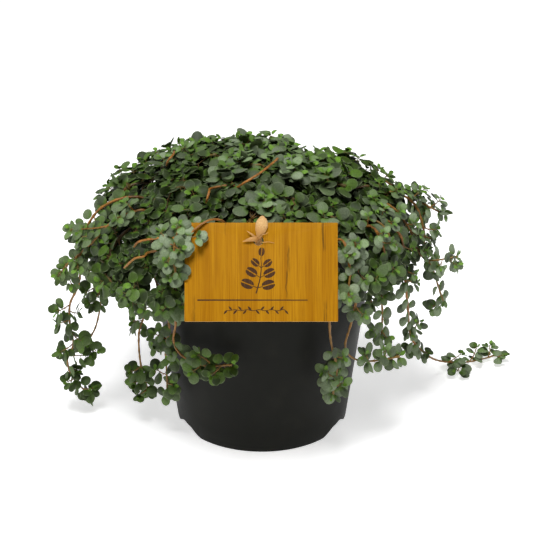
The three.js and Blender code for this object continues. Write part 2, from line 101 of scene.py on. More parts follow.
class PLANT_PG_soil(PropertyGroup):
    """Sizes and colour of the soil plug."""

    edge_height: length(0.128, "Edge height", "Height of the soil where it meets the pot")
    mound: length(0.003, "Mound", "How much the soil rises to its middle")
    gap: length(0.0003, "Gap", "Clearance between the soil and the pot")
    peat: colour((0.030, 0.019, 0.012), "Peat", "Colour of the moist peat")


class PLANT_PG_tag(PropertyGroup):
    """Sizes and colours of the wooden tag and its raffia tie."""

    width: length(0.088, "Width", "Width of the plate")
    height: length(0.057, "Height", "Height of the plate along its slope")
    thickness: length(0.003, "Thickness", "Thickness of the plate")
    top_y: length(-0.080, "Top edge Y", "Place of the top edge of the front face")
    top_z: length(0.169, "Top edge Z", "Height of the top edge of the front face")
    lean: FloatProperty(
        name="Lean", description="How far the plate leans back from upright",
        default=math.radians(30.6), subtype="ANGLE",
    )
    hole_radius: length(0.003, "Hole radius", "Radius of the hole for the tie")
    hole_x: length(-0.0016, "Hole X", "Place of the hole across the plate")
    hole_drop: length(0.0104, "Hole drop", "Place of the hole below the top edge")
    stain: colour((0.340, 0.142, 0.003), "Stain", "Colour of the amber stain")
    raw_wood: colour((0.62, 0.36, 0.09), "Raw wood", "Colour of the edges, which took less stain")
    burn: colour((0.046, 0.018, 0.006), "Burn", "Colour of the burnt lines")
    raffia: colour((0.72, 0.47, 0.21), "Raffia", "Colour of the dry raffia")


class PLANT_PG_foliage(PropertyGroup):
    """Numbers, sizes and colours of the shoots."""

    seed: IntProperty(name="Seed", description="Start of the random draws", default=7)
    crown_tips: IntProperty(
        name="Crown tips", description="Twig tips on the outside of the crown", default=375, min=1
    )
    inner_tips: IntProperty(
        name="Inner tips", description="Twig tips inside the crown", default=340, min=0
    )
    leaf_length: length(0.0089, "Leaf length", "Length of a full-grown blade")
    leaf_width: FloatProperty(
        name="Leaf width", description="Width of a blade as a share of its length", default=0.93
    )
    leaf_thickness: length(0.00034, "Leaf thickness", "Thickness of a blade at its middle")
    pair_spacing: length(0.0060, "Pair spacing", "Length of stem between two leaf pairs")
    stem_radius: length(0.00085, "Stem radius", "Radius of a shoot where it leaves the soil")
    twig_radius: length(0.00048, "Twig radius", "Radius of a side twig at its foot")
    bloom: colour((0.196, 0.244, 0.156), "Bloom", "Upper face under its waxy bloom")
    green: colour((0.040, 0.074, 0.008), "Green", "Upper face without bloom, and the rims")
    underside: colour((0.048, 0.078, 0.012), "Underside", "Lower face of a blade")
    young: colour((0.108, 0.225, 0.017), "Young", "Blades that have just opened")
    bark: colour((0.400, 0.155, 0.020), "Bark", "Stems and twigs")


class PLANT_PG_studio(PropertyGroup):
    """Camera and floor."""

    camera_place: FloatVectorProperty(
        name="Camera place", description="Where the camera stands",
        default=(0.003, -0.900, 0.520), subtype="TRANSLATION", unit="LENGTH",
    )
    camera_drop: FloatProperty(
        name="Camera drop", description="How far the camera looks down from level",
        default=math.radians(24.8), subtype="ANGLE",
    )
    lens: FloatProperty(name="Lens", description="Focal length in millimetres", default=104.6)
    floor: colour((0.82, 0.82, 0.82), "Floor", "Colour of the floor")


SETTINGS = {
    "plant_pot": PLANT_PG_pot,
    "plant_soil": PLANT_PG_soil,
    "plant_tag": PLANT_PG_tag,
    "plant_foliage": PLANT_PG_foliage,
    "plant_studio": PLANT_PG_studio,
}


# ---------------------------------------------------------------- material building blocks


SCUFFED_HEIGHT = 0.012

# Tints that the finishes mix with the colours in the settings.
DUST = (0.026, 0.025, 0.020)
SCUFF = (0.055, 0.054, 0.048)
WET_PEAT = (0.010, 0.006, 0.004)
PEAT_FIBRE = (0.16, 0.095, 0.045)
GRIT = (0.22, 0.20, 0.17)
PALE_STAIN = (0.440, 0.205, 0.006)
WOOD_GRAIN = (0.24, 0.088, 0.002)
WOOD_PORE = (0.20, 0.070, 0.003)
WOOD_STREAK = (0.095, 0.044, 0.006)
SCORCH = (0.100, 0.042, 0.009)
RAFFIA_STRAND = (0.50, 0.275, 0.095)
RAFFIA_PATCH = (0.50, 0.26, 0.085)
RAFFIA_FOOT = (0.430, 0.200, 0.045)
WAXY_UNDERSIDE = (0.085, 0.120, 0.045)
# The pale tint at the blades' rims is a painted highlight.
LEAF_RIM_HIGHLIGHT = (0.190, 0.225, 0.130)
LEAF_FOOT = (0.078, 0.160, 0.014)
BARK_STREAK = (0.185, 0.070, 0.010)
PALE_BARK = (0.27, 0.145, 0.030)
GREEN_BARK = (0.085, 0.092, 0.020)


class Finish:
    """A procedural material under construction: short calls that add and join its nodes."""

    def __init__(self, name, roughness, specular=0.5):
        self.material = bpy.data.materials.new(name)
        self.material.use_nodes = True
        self.tree = self.material.node_tree
        self.shader = self.tree.nodes["Principled BSDF"]
        self.shader.inputs["Roughness"].default_value = roughness
        self.shader.inputs["Specular IOR Level"].default_value = specular

    def node(self, kind, inputs=None, **settings):
        made = self.tree.nodes.new(kind)
        for name, value in settings.items():
            setattr(made, name, value)
        for name, value in (inputs or {}).items():
            self.feed(made.inputs[name], value)
        return made

    def feed(self, socket, value):
        if isinstance(value, bpy.types.NodeSocket):
            self.tree.links.new(value, socket)
        else:
            socket.default_value = value

    def attribute(self, name):
        return self.node("ShaderNodeAttribute", attribute_name=name).outputs["Vector"]

    def parts(self, vector):
        return self.node("ShaderNodeSeparateXYZ", {"Vector": vector}).outputs

    def place(self):
        return self.node("ShaderNodeTexCoord").outputs["Object"]

    def scaled(self, vector, scale):
        return self.node("ShaderNodeMapping", {"Vector": vector, "Scale": scale}).outputs["Vector"]

    def grain(self, vector, scale, detail=2.0, roughness=0.5):
        inputs = {"Vector": vector, "Scale": scale, "Detail": detail, "Roughness": roughness}
        return self.node("ShaderNodeTexNoise", inputs).outputs["Fac"]

    def sums(self, operation, a, b=0.0):
        made = self.node("ShaderNodeMath", operation=operation)
        self.feed(made.inputs[0], a)
        self.feed(made.inputs[1], b)
        return made.outputs["Value"]

    def between(self, value, low, high, to_low=0.0, to_high=1.0):
        inputs = {
            "Value": value, "From Min": low, "From Max": high, "To Min": to_low, "To Max": to_high,
        }
        made = self.node("ShaderNodeMapRange", inputs, interpolation_type="SMOOTHSTEP")
        return made.outputs["Result"]

    def mixed(self, share, a, b):
        made = self.node("ShaderNodeMix", data_type="RGBA")
        self.feed(made.inputs["Factor"], share)
        self.feed(made.inputs[6], a if isinstance(a, bpy.types.NodeSocket) else (*a, 1))
        self.feed(made.inputs[7], b if isinstance(b, bpy.types.NodeSocket) else (*b, 1))
        return made.outputs[2]

    def lit(self, tint, value):
        return self.node("ShaderNodeHueSaturation", {"Color": tint, "Value": value}).outputs["Color"]

    def bumped(self, height, distance, strength):
        inputs = {"Height": height, "Distance": distance, "Strength": strength}
        self.feed(self.shader.inputs["Normal"], self.node("ShaderNodeBump", inputs).outputs["Normal"])

    def done(self, tint, roughness=None):
        self.feed(self.shader.inputs["Base Color"], tint)
        if roughness is not None:
            self.feed(self.shader.inputs["Roughness"], roughness)
        return self.material


def moulded_plastic(settings):
    """Matte near-black plastic: a fine moulded texture, faint dust and a few pale scuffs low down."""
    finish = Finish("moulded_plastic", 0.5, specular=0.10)
    place = finish.place()
    height = finish.parts(place)[2]
    cloud = finish.grain(place, 38.0, detail=5.0)
    texture = finish.grain(place, 2600.0, detail=2.0)
    dust = finish.between(cloud, 0.50, 0.80, 0.0, 0.30)
    tint = finish.mixed(dust, tuple(settings.plastic), DUST)
    scuffs = finish.grain(finish.scaled(place, (60.0, 60.0, 420.0)), 1.0, detail=6.0, roughness=0.7)
    low = finish.between(height, SCUFFED_HEIGHT, 0.0, 0.0, 1.0)
    worn = finish.sums("MULTIPLY", finish.between(scuffs, 0.62, 0.72), low)
    tint = finish.mixed(finish.sums("MULTIPLY", worn, 0.5), tint, SCUFF)
    finish.bumped(texture, 0.00006, 0.5)
    return finish.done(tint, finish.between(cloud, 0.3, 0.8, 0.44, 0.58))


def moist_peat(settings):
    """Dark crumbly peat with pale fibres and grit."""
    finish = Finish("moist_peat", 0.9, specular=0.3)
    place = finish.place()
    crumbs = finish.grain(place, 420.0, detail=6.0, roughness=0.65)
    tint = finish.mixed(finish.between(crumbs, 0.35, 0.7), WET_PEAT, tuple(settings.peat))
    fibres = finish.grain(finish.scaled(place, (260.0, 1400.0, 600.0)), 1.0, detail=3.0)
    tint = finish.mixed(finish.between(fibres, 0.66, 0.74, 0.0, 0.8), tint, PEAT_FIBRE)
    grit = finish.node("ShaderNodeTexVoronoi", {"Vector": place, "Scale": 260.0}).outputs["Distance"]
    tint = finish.mixed(finish.between(grit, 0.14, 0.08, 0.0, 0.7), tint, GRIT)
    finish.bumped(crumbs, 0.0012, 0.9)
    return finish.done(tint)


def stained_wood(settings):
    """Amber-stained softwood with its grain up the plate, dark streaks and paler cut edges."""
    finish = Finish("stained_wood", 0.6, specular=0.06)
    place = finish.place()
    across, along, out = finish.parts(place)
    fine = finish.grain(finish.scaled(place, (1500.0, 26.0, 300.0)), 1.0, detail=4.0, roughness=0.6)
    broad = finish.grain(finish.scaled(place, (170.0, 7.0, 60.0)), 1.0, detail=3.0)
    tint = finish.mixed(finish.between(broad, 0.3, 0.7), tuple(settings.stain), PALE_STAIN)
    tint = finish.mixed(finish.between(fine, 0.42, 0.66, 0.0, 0.60), tint, WOOD_GRAIN)
    pores = finish.grain(finish.scaled(place, (2600.0, 60.0, 500.0)), 1.0, detail=2.0)
    tint = finish.mixed(finish.between(pores, 0.66, 0.78, 0.0, 0.35), tint, WOOD_PORE)
    for centre, half, low, high in WOOD_STREAKS:
        wander = finish.grain(finish.scaled(place, (0.0, 90.0, 0.0)), 1.0, detail=2.0)
        shift = finish.between(wander, 0.2, 0.8, -STREAK_WANDER, STREAK_WANDER)
        line = finish.sums("ADD", across, shift)
        near = finish.sums("ABSOLUTE", finish.sums("SUBTRACT", line, centre))
        inside = finish.between(near, half, half * 0.25, 0.0, 1.0)
        below = finish.between(along, high + STREAK_FADE, high, 0.0, 1.0)
        above = finish.between(along, low - STREAK_FADE, low, 0.0, 1.0)
        span = finish.sums("MULTIPLY", below, above)
        patchy = finish.between(fine, 0.38, 0.58, 0.0, 1.0)
        share = finish.sums("MULTIPLY", finish.sums("MULTIPLY", inside, span), patchy)
        tint = finish.mixed(finish.sums("MULTIPLY", share, 0.82), tint, WOOD_STREAK)
    edge = finish.between(out, -0.00025, -0.0006, 0.0, 0.85)
    tint = finish.mixed(edge, tint, tuple(settings.raw_wood))
    finish.bumped(fine, 0.00012, 0.6)
    return finish.done(tint, finish.between(fine, 0.3, 0.7, 0.42, 0.60))


def burnt_wood(settings):
    """Wood scorched dark brown, a little patchy where the grain was harder."""
    finish = Finish("burnt_wood", 0.75, specular=0.2)
    place = finish.place()
    patches = finish.grain(finish.scaled(place, (1500.0, 160.0, 400.0)), 1.0, detail=4.0)
    tint = finish.mixed(finish.between(patches, 0.45, 0.75), tuple(settings.burn), SCORCH)
    finish.bumped(patches, 0.00005, 0.5)
    return finish.done(tint)


def dry_raffia(settings):
    """Pale dry fibre: fine strands, darker patches, and a browner stretch where the strip starts."""
    finish = Finish("dry_raffia", 0.62, specular=0.3)
    across, along, _ = finish.parts(finish.attribute("strand"))
    lines = finish.node("ShaderNodeCombineXYZ", {"X": across, "Y": along}).outputs["Vector"]
    strands = finish.grain(finish.scaled(lines, (9.0, 0.9, 1.0)), 1.0, detail=4.0, roughness=0.6)
    patches = finish.grain(finish.scaled(lines, (1.2, 2.4, 1.0)), 1.0, detail=3.0)
    tint = finish.mixed(finish.between(strands, 0.3, 0.7), RAFFIA_STRAND, tuple(settings.raffia))
    tint = finish.mixed(finish.between(patches, 0.50, 0.72, 0.0, 0.5), tint, RAFFIA_PATCH)
    tint = finish.mixed(finish.between(along, 15.0, 9.0, 0.0, 0.75), tint, RAFFIA_FOOT)
    finish.bumped(strands, 0.00025, 0.8)
    return finish.done(tint)


def leaf_face(settings, name, lower):
    """One face of the blades. Each blade brings its youth, and its bloom and shade of green with
    painted shade in them.
    """
    finish = Finish(name, 0.55, specular=0.22)
    across, along, _ = finish.parts(finish.attribute("blade"))
    youth, bloom, variety = finish.parts(finish.attribute("tone"))
    green = tuple(settings.green)
    # The bloom share carries painted shade: it is lower where shade falls, so those blades are
    # painted a darker green.
    if lower:
        tint = finish.mixed(bloom, tuple(settings.underside), WAXY_UNDERSIDE)
    else:
        tint = finish.mixed(finish.between(bloom, 0.08, 0.92), green, tuple(settings.bloom))
    tint = finish.mixed(youth, tint, tuple(settings.young))
    mottle = finish.grain(finish.place(), 1300.0, detail=3.0)
    tint = finish.lit(tint, finish.between(mottle, 0.28, 0.72, 0.80, 1.16))
    # Painted shade with random tone: the blade's shade of green is a random tone times the light left
    # to it, darker deep in the crown.
    tint = finish.lit(tint, finish.between(variety, 0.0, 0.9, 0.25, 1.34))
    # Darker green towards the margin: partly the blade's own greener edge, partly painted shade where
    # the domed blade curves away from the light.
    spread = finish.sums("SUBTRACT", finish.sums("MULTIPLY", along, 2.0), 1.0)
    radial = finish.sums("ADD", finish.sums("POWER", across, 2.0), finish.sums("POWER", spread, 2.0))
    margin = finish.between(radial, 0.55, 0.92, 0.0, 0.20)
    tint = finish.mixed(margin, tint, green)
    # Painted highlight: a pale grey-green line round the very rim of each blade.
    rim = finish.between(radial, 0.90, 1.02, 0.0, 0.35)
    tint = finish.mixed(rim, tint, LEAF_RIM_HIGHLIGHT)
    foot = finish.between(along, 0.46, 0.05, 0.0, 0.80)
    tint = finish.mixed(foot, tint, LEAF_FOOT)
    side = finish.sums("ABSOLUTE", across)
    midrib = finish.between(side, 0.16, 0.0, 0.0, 1.0)
    nerves = finish.between(finish.sums("ABSOLUTE", finish.sums("SUBTRACT", side, 0.55)), 0.12, 0.0)
    ribs = finish.sums("ADD", midrib, finish.sums("MULTIPLY", nerves, 0.5))
    tint = finish.mixed(finish.sums("MULTIPLY", ribs, 0.10), tint, green)
    height = finish.sums("SUBTRACT", finish.sums("MULTIPLY", mottle, 0.5), ribs)
    finish.bumped(height, 0.00010, 0.5)
    return finish.done(tint, finish.between(mottle, 0.3, 0.7, 0.50, 0.64))


def stem_bark(settings):
    """Reddish stems, green towards their growing tips, and painted darker inside the crown, where
    shade falls.
    """
    finish = Finish("stem_bark", 0.5, specular=0.4)
    youth, inside, variety = finish.parts(finish.attribute("tone"))
    place = finish.place()
    streaks = finish.grain(place, 520.0, detail=4.0)
    tint = finish.mixed(finish.between(streaks, 0.3, 0.7), BARK_STREAK, tuple(settings.bark))
    tint = finish.mixed(finish.sums("MULTIPLY", variety, 0.5), tint, PALE_BARK)
    tint = finish.mixed(youth, tint, GREEN_BARK)
    # Painted shade: the stem is darkened where it lies deep inside the crown.
    tint = finish.lit(tint, finish.between(inside, 0.0, 1.0, 1.0, 0.30))
    finish.bumped(streaks, 0.00012, 0.5)
    return finish.done(tint)


# ---------------------------------------------------------------- meshes and lines


def finished(name, mesh, materials, stands_for, matrix=None):
    """Makes the piece's object, gives it its materials and ties it to the frame."""
    piece = bpy.data.objects.new(name, mesh)
    bpy.context.scene.collection.objects.link(piece)
    if matrix is not None:
        piece.matrix_world = matrix
    for material in materials:
        mesh.materials.append(material)
    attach(piece, BODY)
    if stands_for:
        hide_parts(stands_for)
    return piece


def in_metres(points):
    """Points given in millimetres, as an array in metres."""
    return np.array(points, float) * MM


def unit(vector):
    return vector / max(np.linalg.norm(vector), 1e-12)


def clamped(value):
    """The value, held between 0 and 1."""
    return min(1.0, max(0.0, value))


def square_to(vector, direction):
    """The part of vector at a right angle to direction, at length 1."""
    return unit(vector - direction * np.dot(vector, direction))


PER_SPAN = 16


def spline(points, per_span=PER_SPAN):
    """A smooth line through the points, with per_span steps from each to the next."""
    ends = [2 * points[0] - points[1], *points, 2 * points[-1] - points[-2]]
    share = np.linspace(0, 1, per_span, endpoint=False)[:, None]
    spans = []
    for a, b, c, d in zip(ends, ends[1:], ends[2:], ends[3:]):
        cubic = 2 * b + (c - a) * share + (2 * a - 5 * b + 4 * c - d) * share**2
        spans.append((cubic + (3 * b - a - 3 * c + d) * share**3) / 2)
    return np.vstack([*spans, [points[-1]]])


def bezier(points, steps):
    """The Bezier curve with these three or four control points."""
    share = np.linspace(0, 1, steps + 1)[:, None]
    layers = [np.tile(point, (steps + 1, 1)) for point in points]
    while len(layers) > 1:
        layers = [a * (1 - share) + b * share for a, b in zip(layers, layers[1:])]
    return layers[0]


class Route:
    """A line measured by the length along it."""

    def __init__(self, points):
        self.points = points
        steps = np.linalg.norm(np.diff(points, axis=0), axis=1)
        self.marks = np.concatenate([[0.0], np.cumsum(steps)])
        self.length = float(self.marks[-1])

    def at(self, distance):
        return np.stack([np.interp(distance, self.marks, self.points[:, k]) for k in range(3)], -1)

    def distance_to(self, number):
        """The distance along a spline's route to its point of this number, counted from 0."""
        return np.interp(number * PER_SPAN, np.arange(len(self.marks)), self.marks)

    def heading(self, distance):
        reach = min(0.0006, self.length / 4)
        ahead = self.at(min(distance + reach, self.length))
        return unit(ahead - self.at(max(distance - reach, 0.0)))


def sections_along(route, distances, start_side):
    """Untwisted cross directions (side, lift) of a route at the given distances."""
    side, found = start_side, []
    for distance in distances:
        heading = route.heading(distance)
        side = square_to(side, heading)
        found.append((side, np.cross(heading, side)))
    return found


def any_side(direction):
    return square_to(UP if abs(direction[2]) < 0.9 else np.array([1.0, 0.0, 0.0]), direction)


def revolved(profile, segments, shape=None):
    """A closed body of revolution. The profile runs from the axis round to the axis again."""
    body = bmesh.new()
    rings = []
    for row, (radius, height) in enumerate(profile):
        if radius == 0:
            rings.append([body.verts.new((0, 0, height))])
            continue
        ring = []
        for step in range(segments):
            angle = 2 * math.pi * step / segments
            r, z = shape(row, radius, height, angle) if shape else (radius, height)
            ring.append(body.verts.new((r * math.cos(angle), r * math.sin(angle), z)))
        rings.append(ring)
    for lower, upper in zip(rings, rings[1:]):
        for step in range(segments):
            after = (step + 1) % segments
            if len(lower) == 1:
                body.faces.new((lower[0], upper[after], upper[step]))
            elif len(upper) == 1:
                body.faces.new((lower[step], lower[after], upper[0]))
            else:
                body.faces.new((lower[step], lower[after], upper[after], upper[step]))
    for face in body.faces:
        face.smooth = True
    return body


def mesh_from(body, name, sharp_angle=None):
    mesh = bpy.data.meshes.new(name)
    bmesh.ops.recalc_face_normals(body, faces=body.faces)
    body.to_mesh(mesh)
    body.free()
    if sharp_angle is not None:
        mesh.set_sharp_from_angle(angle=sharp_angle)
    return mesh


def join_rings(body, rings):
    """Adds the faces from each ring to the next, and closes both ends."""
    count = len(rings[0])
    for a, b in zip(rings, rings[1:]):
        for k in range(count):
            n = (k + 1) % count
            body.faces.new((a[k], a[n], b[n], b[k]))
    body.faces.new(rings[0][::-1])
    body.faces.new(rings[-1])


# ---------------------------------------------------------------- pot and soil


POT_SEGMENTS = 240
NOTCH_AZIMUTHS = tuple(math.radians(-30 + 120 * i) for i in range(3))
DRAIN_HOLES = 6


def wall_radius(pot, height):
    rise = (pot.wall_top_radius - pot.base_radius) / (pot.height - pot.lip_height)
    return pot.base_radius + rise * height


def pot_profile(pot):
    """Radius and height of each ring, from under the floor, up the outside and down the inside."""
    lip_base, top = pot.height - pot.lip_height, pot.height
    outer_round, inner_round, corner, foot_round = 0.0008, 0.0004, 0.0003, 0.0006
    rows = [(0, 0), (pot.base_radius - foot_round, 0)]
    rows += [(wall_radius(pot, h) - inset, h) for h, inset in ((0.0002, 0.0002), (0.0007, 0))]
    rows += [(wall_radius(pot, h), h) for h in np.linspace(0.012, lip_base - 0.001, 12)]
    rows += [(wall_radius(pot, lip_base), lip_base)]
    rows += [(pot.lip_radius - inner_round, lip_base + corner)]
    rows += [(pot.lip_radius, lip_base + outer_round), (pot.lip_radius, top - outer_round)]
    rows += [(pot.lip_radius - corner, top - corner), (pot.lip_radius - outer_round, top)]
    inner = pot.wall_top_radius - pot.wall
    rows += [(inner + inner_round, top), (inner, top - inner_round), (inner, lip_base)]
    rows += [(wall_radius(pot, pot.floor) - pot.wall, pot.floor), (0, pot.floor)]
    return rows


def prism(body, outline, placed, depth):
    """Adds a closed prism: an outline in x and z, swept along y by depth, then placed."""
    near = [body.verts.new(placed @ Vector((x, 0, z))) for x, z in outline]
    far = [body.verts.new(placed @ Vector((x, depth, z))) for x, z in outline]
    body.faces.new(near)
    body.faces.new(far[::-1])
    for k in range(len(outline)):
        n = (k + 1) % len(outline)
        body.faces.new((near[n], near[k], far[k], far[n]))


def notch_cutter(body, pot, azimuth):
    """Adds the bell-shaped cutter of one notch, reaching in from outside the base edge."""
    below, beyond = -0.001, 0.004
    half, tall = pot.notch_half_width, pot.notch_height
    arch = [(half * s, tall * math.cos(math.pi / 2 * s) ** 2) for s in np.linspace(-1, 1, 25)]
    outline = [(-half, below), *arch, (half, below)]
    start = pot.base_radius - pot.notch_depth
    placed = Matrix.Rotation(azimuth - math.pi / 2, 4, "Z") @ Matrix.Translation((0, start, 0))
    prism(body, outline, placed, pot.notch_depth + beyond)


class PLANT_OT_make_pot(Operator):
    """Makes the tapered nursery pot with its lip, scalloped base edge and drain holes."""

    bl_idname = "plant.make_pot"
    bl_label = "Pot"

    def execute(self, context):
        pot = context.scene.plant_pot
        piece = finished(
            "nursery_pot", mesh_from(revolved(pot_profile(pot), POT_SEGMENTS), "nursery_pot"),
            [moulded_plastic(pot)], "pot",
        )
        drill = bmesh.new()
        for azimuth in NOTCH_AZIMUTHS:
            notch_cutter(drill, pot, azimuth)
        for i in range(DRAIN_HOLES):
            angle = 2 * math.pi * i / DRAIN_HOLES
            spot = (pot.hole_circle * math.cos(angle), pot.hole_circle * math.sin(angle), 0)
            bmesh.ops.create_cone(
                drill, cap_ends=True, segments=32, radius1=pot.hole_radius,
                radius2=pot.hole_radius, depth=pot.floor * 3, matrix=Matrix.Translation(spot),
            )
        cutter = bpy.data.objects.new("drill", mesh_from(drill, "drill"))
        context.scene.collection.objects.link(cutter)
        cut = piece.modifiers.new("openings", "BOOLEAN")
        cut.operation, cut.solver, cut.object = "DIFFERENCE", "EXACT", cutter
        apply_modifiers(piece)
        piece.data.set_sharp_from_angle(angle=math.radians(40))
        bpy.data.objects.remove(cutter)
        return {"FINISHED"}


def apply_modifiers(piece):
    """Replaces the piece's mesh by what its modifiers make of it."""
    graph = bpy.context.evaluated_depsgraph_get()
    made = bpy.data.meshes.new_from_object(piece.evaluated_get(graph), depsgraph=graph)
    piece.modifiers.clear()
    piece.data = made


def soil_height(scene, radius):
    """Height of the soil's mounded top at this distance from the pot's axis."""
    pot, soil = scene.plant_pot, scene.plant_soil
    edge = wall_radius(pot, soil.edge_height) - pot.wall - soil.gap
    return soil.edge_height + soil.mound * (1 - (radius / edge) ** 2)


class PLANT_OT_make_soil(Operator):
    """Makes the plug of moist peat with its crumbly mounded top."""

    bl_idname = "plant.make_soil"
    bl_label = "Soil"

    def execute(self, context):
        pot, soil = context.scene.plant_pot, context.scene.plant_soil
        inset = pot.wall + soil.gap
        bottom = pot.floor + soil.gap
        edge = wall_radius(pot, soil.edge_height) - inset
        radii = np.linspace(edge, 0, 46)
        side = [(wall_radius(pot, h) - inset, h) for h in np.linspace(bottom, soil.edge_height, 12)]
        profile = [(0, bottom), *side, *((r, soil_height(context.scene, r)) for r in radii[1:])]
        top_row = 1 + len(side)

        def crumbly(row, radius, height, azimuth):
            if row < top_row:
                return radius, height
            spot = Vector((radius * math.cos(azimuth), radius * math.sin(azimuth), 0))
            crumb = noise.turbulence(spot * 240, 3, False, noise_basis="PERLIN_NEW")
            return radius, height - 0.0011 * crumb

        body = revolved(profile, 180, crumbly)
        finished(
            "peat_plug", mesh_from(body, "peat_plug", math.radians(60)),
            [moist_peat(soil)], "soil",
        )
        return {"FINISHED"}


# ---------------------------------------------------------------- tag and raffia tie


# Dark streaks in the wood: centre across the plate, half width, and the stretch of the plate
# that each covers, measured up from its top edge.
WOOD_STREAKS = (
    (0.0358, 0.0011, -0.0140, 0.0010),
    (0.0366, 0.0013, -0.0570, -0.0480),
    (0.0155, 0.0008, -0.0260, -0.0160),
    (0.0146, 0.0006, -0.0420, -0.0300),
    (-0.0205, 0.0006, -0.0050, 0.0010),
    (-0.0385, 0.0009, -0.0570, -0.0450),
)
STREAK_WANDER = 0.0007
STREAK_FADE = 0.004


def tag_matrix(tag):
    """The tag's own frame: x across, y up from its top edge, z out of its front face."""
    turn = Matrix.Rotation(math.pi / 2 - tag.lean, 4, "X")
    return Matrix.Translation((0, tag.top_y, tag.top_z)) @ turn


def flat_plate(outline, holes, low, high):
    """A closed plate between two heights, from an outline and the outlines of its holes."""
    body = bmesh.new()
    edges = []
    for loop in (outline, *holes):
        corners = [body.verts.new((x, y, high)) for x, y in loop]
        edges += [body.edges.new((a, b)) for a, b in zip(corners, corners[1:] + corners[:1])]
    bmesh.ops.triangle_fill(body, use_beauty=True, use_dissolve=False, edges=edges)
    solid = bmesh.ops.extrude_face_region(body, geom=body.faces[:])
    moved = [v for v in solid["geom"] if isinstance(v, bmesh.types.BMVert)]
    bmesh.ops.translate(body, verts=moved, vec=(0, 0, low - high))
    bmesh.ops.recalc_face_normals(body, faces=body.faces)
    return body


def arc(centre, radius, start, stop, steps):
    """Points on a circle from one angle to another, in degrees."""
    angles = np.radians(np.linspace(start, stop, steps))
    return [(centre[0] + radius * math.cos(a), centre[1] + radius * math.sin(a)) for a in angles]


class PLANT_OT_make_tag(Operator):
    """Makes the wooden tag with its softened edges and its hole."""

    bl_idname = "plant.make_tag"
    bl_label = "Wooden tag"

    def execute(self, context):
        tag = context.scene.plant_tag
        half, corner = tag.width / 2, 0.0004
        outline = [
            *arc((half - corner, -tag.height + corner), corner, -90, 0, 6),
            *arc((half - corner, -corner), corner, 0, 90, 6),
            *arc((-half + corner, -corner), corner, 90, 180, 6),
            *arc((-half + corner, -tag.height + corner), corner, 180, 270, 6),
        ]
        hole = arc((tag.hole_x, -tag.hole_drop), tag.hole_radius, 0, 337.5, 16)
        body = flat_plate(outline, [hole], -tag.thickness, 0)
        rims = [e for e in body.edges if len(e.link_faces) == 2 and e.calc_face_angle(0) > 1.2]
        bmesh.ops.bevel(body, geom=rims, offset=0.0003, segments=3, profile=0.5, affect="EDGES")
        for face in body.faces:
            face.smooth = True
        finished(
            "stained_tag", mesh_from(body, "stained_tag", math.radians(50)),
            [stained_wood(tag)], "wooden_tag", tag_matrix(tag),
        )
        return {"FINISHED"}


def stroke(body, points, widths, low, high):
    """Adds a thin closed ribbon of varying width that follows points on the plate."""
    line = np.array(points, float)
    ahead = np.gradient(line, axis=0)
    ahead /= np.linalg.norm(ahead, axis=1)[:, None]
    square = np.stack([-ahead[:, 1], ahead[:, 0]], 1)
    offset = square * (np.array(widths) / 2)[:, None]
    rings = []
    for (lx, ly), (rx, ry) in zip(line + offset, line - offset):
        corners = ((lx, ly, high), (rx, ry, high), (rx, ry, low), (lx, ly, low))
        rings.append([body.verts.new(corner) for corner in corners])
    join_rings(body, rings)


def round_leaf(body, foot, angle, size, low, high):
    """Adds one burnt round leaf: a short stalk and two filled halves beside a bare midrib."""
    turn = Matrix.Rotation(angle, 2)
    midrib, bulge = 0.030, 0.125

    def placed(x, y):
        return Vector(foot) + turn @ Vector((x * size, y * size))

    stroke(body, [placed(x, 0) for x in np.linspace(0, 0.30, 4)], [0.0004] * 4, low, high)
    turns = np.linspace(0.04, math.pi - 0.04, 13)
    for side in (1, -1):
        middle = [
            placed(0.64 - 0.36 * math.cos(t), side * (midrib + bulge * math.sin(t))) for t in turns
        ]
        width = [2 * bulge * math.sin(t) * size for t in turns]
        stroke(body, middle, width, low, high)


class PLANT_OT_burn_sprig(Operator):
    """Burns a plain leafy sprig, a thin rule and a small garland into the tag's front."""

    bl_idname = "plant.burn_sprig"
    bl_label = "Burnt drawing"

    def execute(self, context):
        tag = context.scene.plant_tag
        low, high = -0.00008, 0.00006
        body = bmesh.new()
        foot_x, foot_y, tall, bend = -0.0030, -0.0410, 0.0200, 0.0030
        shares = np.linspace(0, 1, 18)
        stalk = [(foot_x + bend * math.sin(2 * s), foot_y + tall * s) for s in shares]
        stroke(body, stalk, np.linspace(0.00080, 0.00034, 18), low, high)
        for i, (share, size) in enumerate(((0.16, 0.0100), (0.46, 0.0092), (0.74, 0.0072))):
            spot = (foot_x + bend * math.sin(2 * share), foot_y + tall * share)
            lift = math.radians(16 + 10 * i)
            round_leaf(body, spot, lift, size, low, high)
            round_leaf(body, spot, math.pi - lift - 0.1, size, low, high)
        round_leaf(body, stalk[-1], math.radians(84), 0.0064, low, high)
        rule_x, rule_y, rule_half = -0.0050, -0.0448, 0.0316
        rule = [(rule_x + x, rule_y) for x in np.linspace(-rule_half, rule_half, 8)]
        stroke(body, rule, np.linspace(0.00080, 0.00055, 8), low, high)
        garland_y, garland_half = -0.0506, 0.0165
        vine = [
            (foot_x + x, garland_y + 0.0003 * math.sin(900 * x))
            for x in np.linspace(-garland_half, garland_half, 40)
        ]
        stroke(body, vine, [0.00036] * 40, low, high)
        for i, x in enumerate(np.linspace(-garland_half, garland_half, 13)):
            way = math.radians(48 if i % 2 else -48)
            outward = way if x >= 0 else math.pi - way
            bud = [
                (foot_x + x + s * math.cos(outward), garland_y + s * math.sin(outward))
                for s in np.linspace(0, 0.0030, 6)
            ]
            stroke(body, bud, in_metres((0.22, 0.80, 1.15, 1.05, 0.65, 0.12)), low, high)
        finished(
            "burnt_sprig", mesh_from(body, "burnt_sprig"),
            [burnt_wood(tag)], None, tag_matrix(tag),
        )
        return {"FINISHED"}


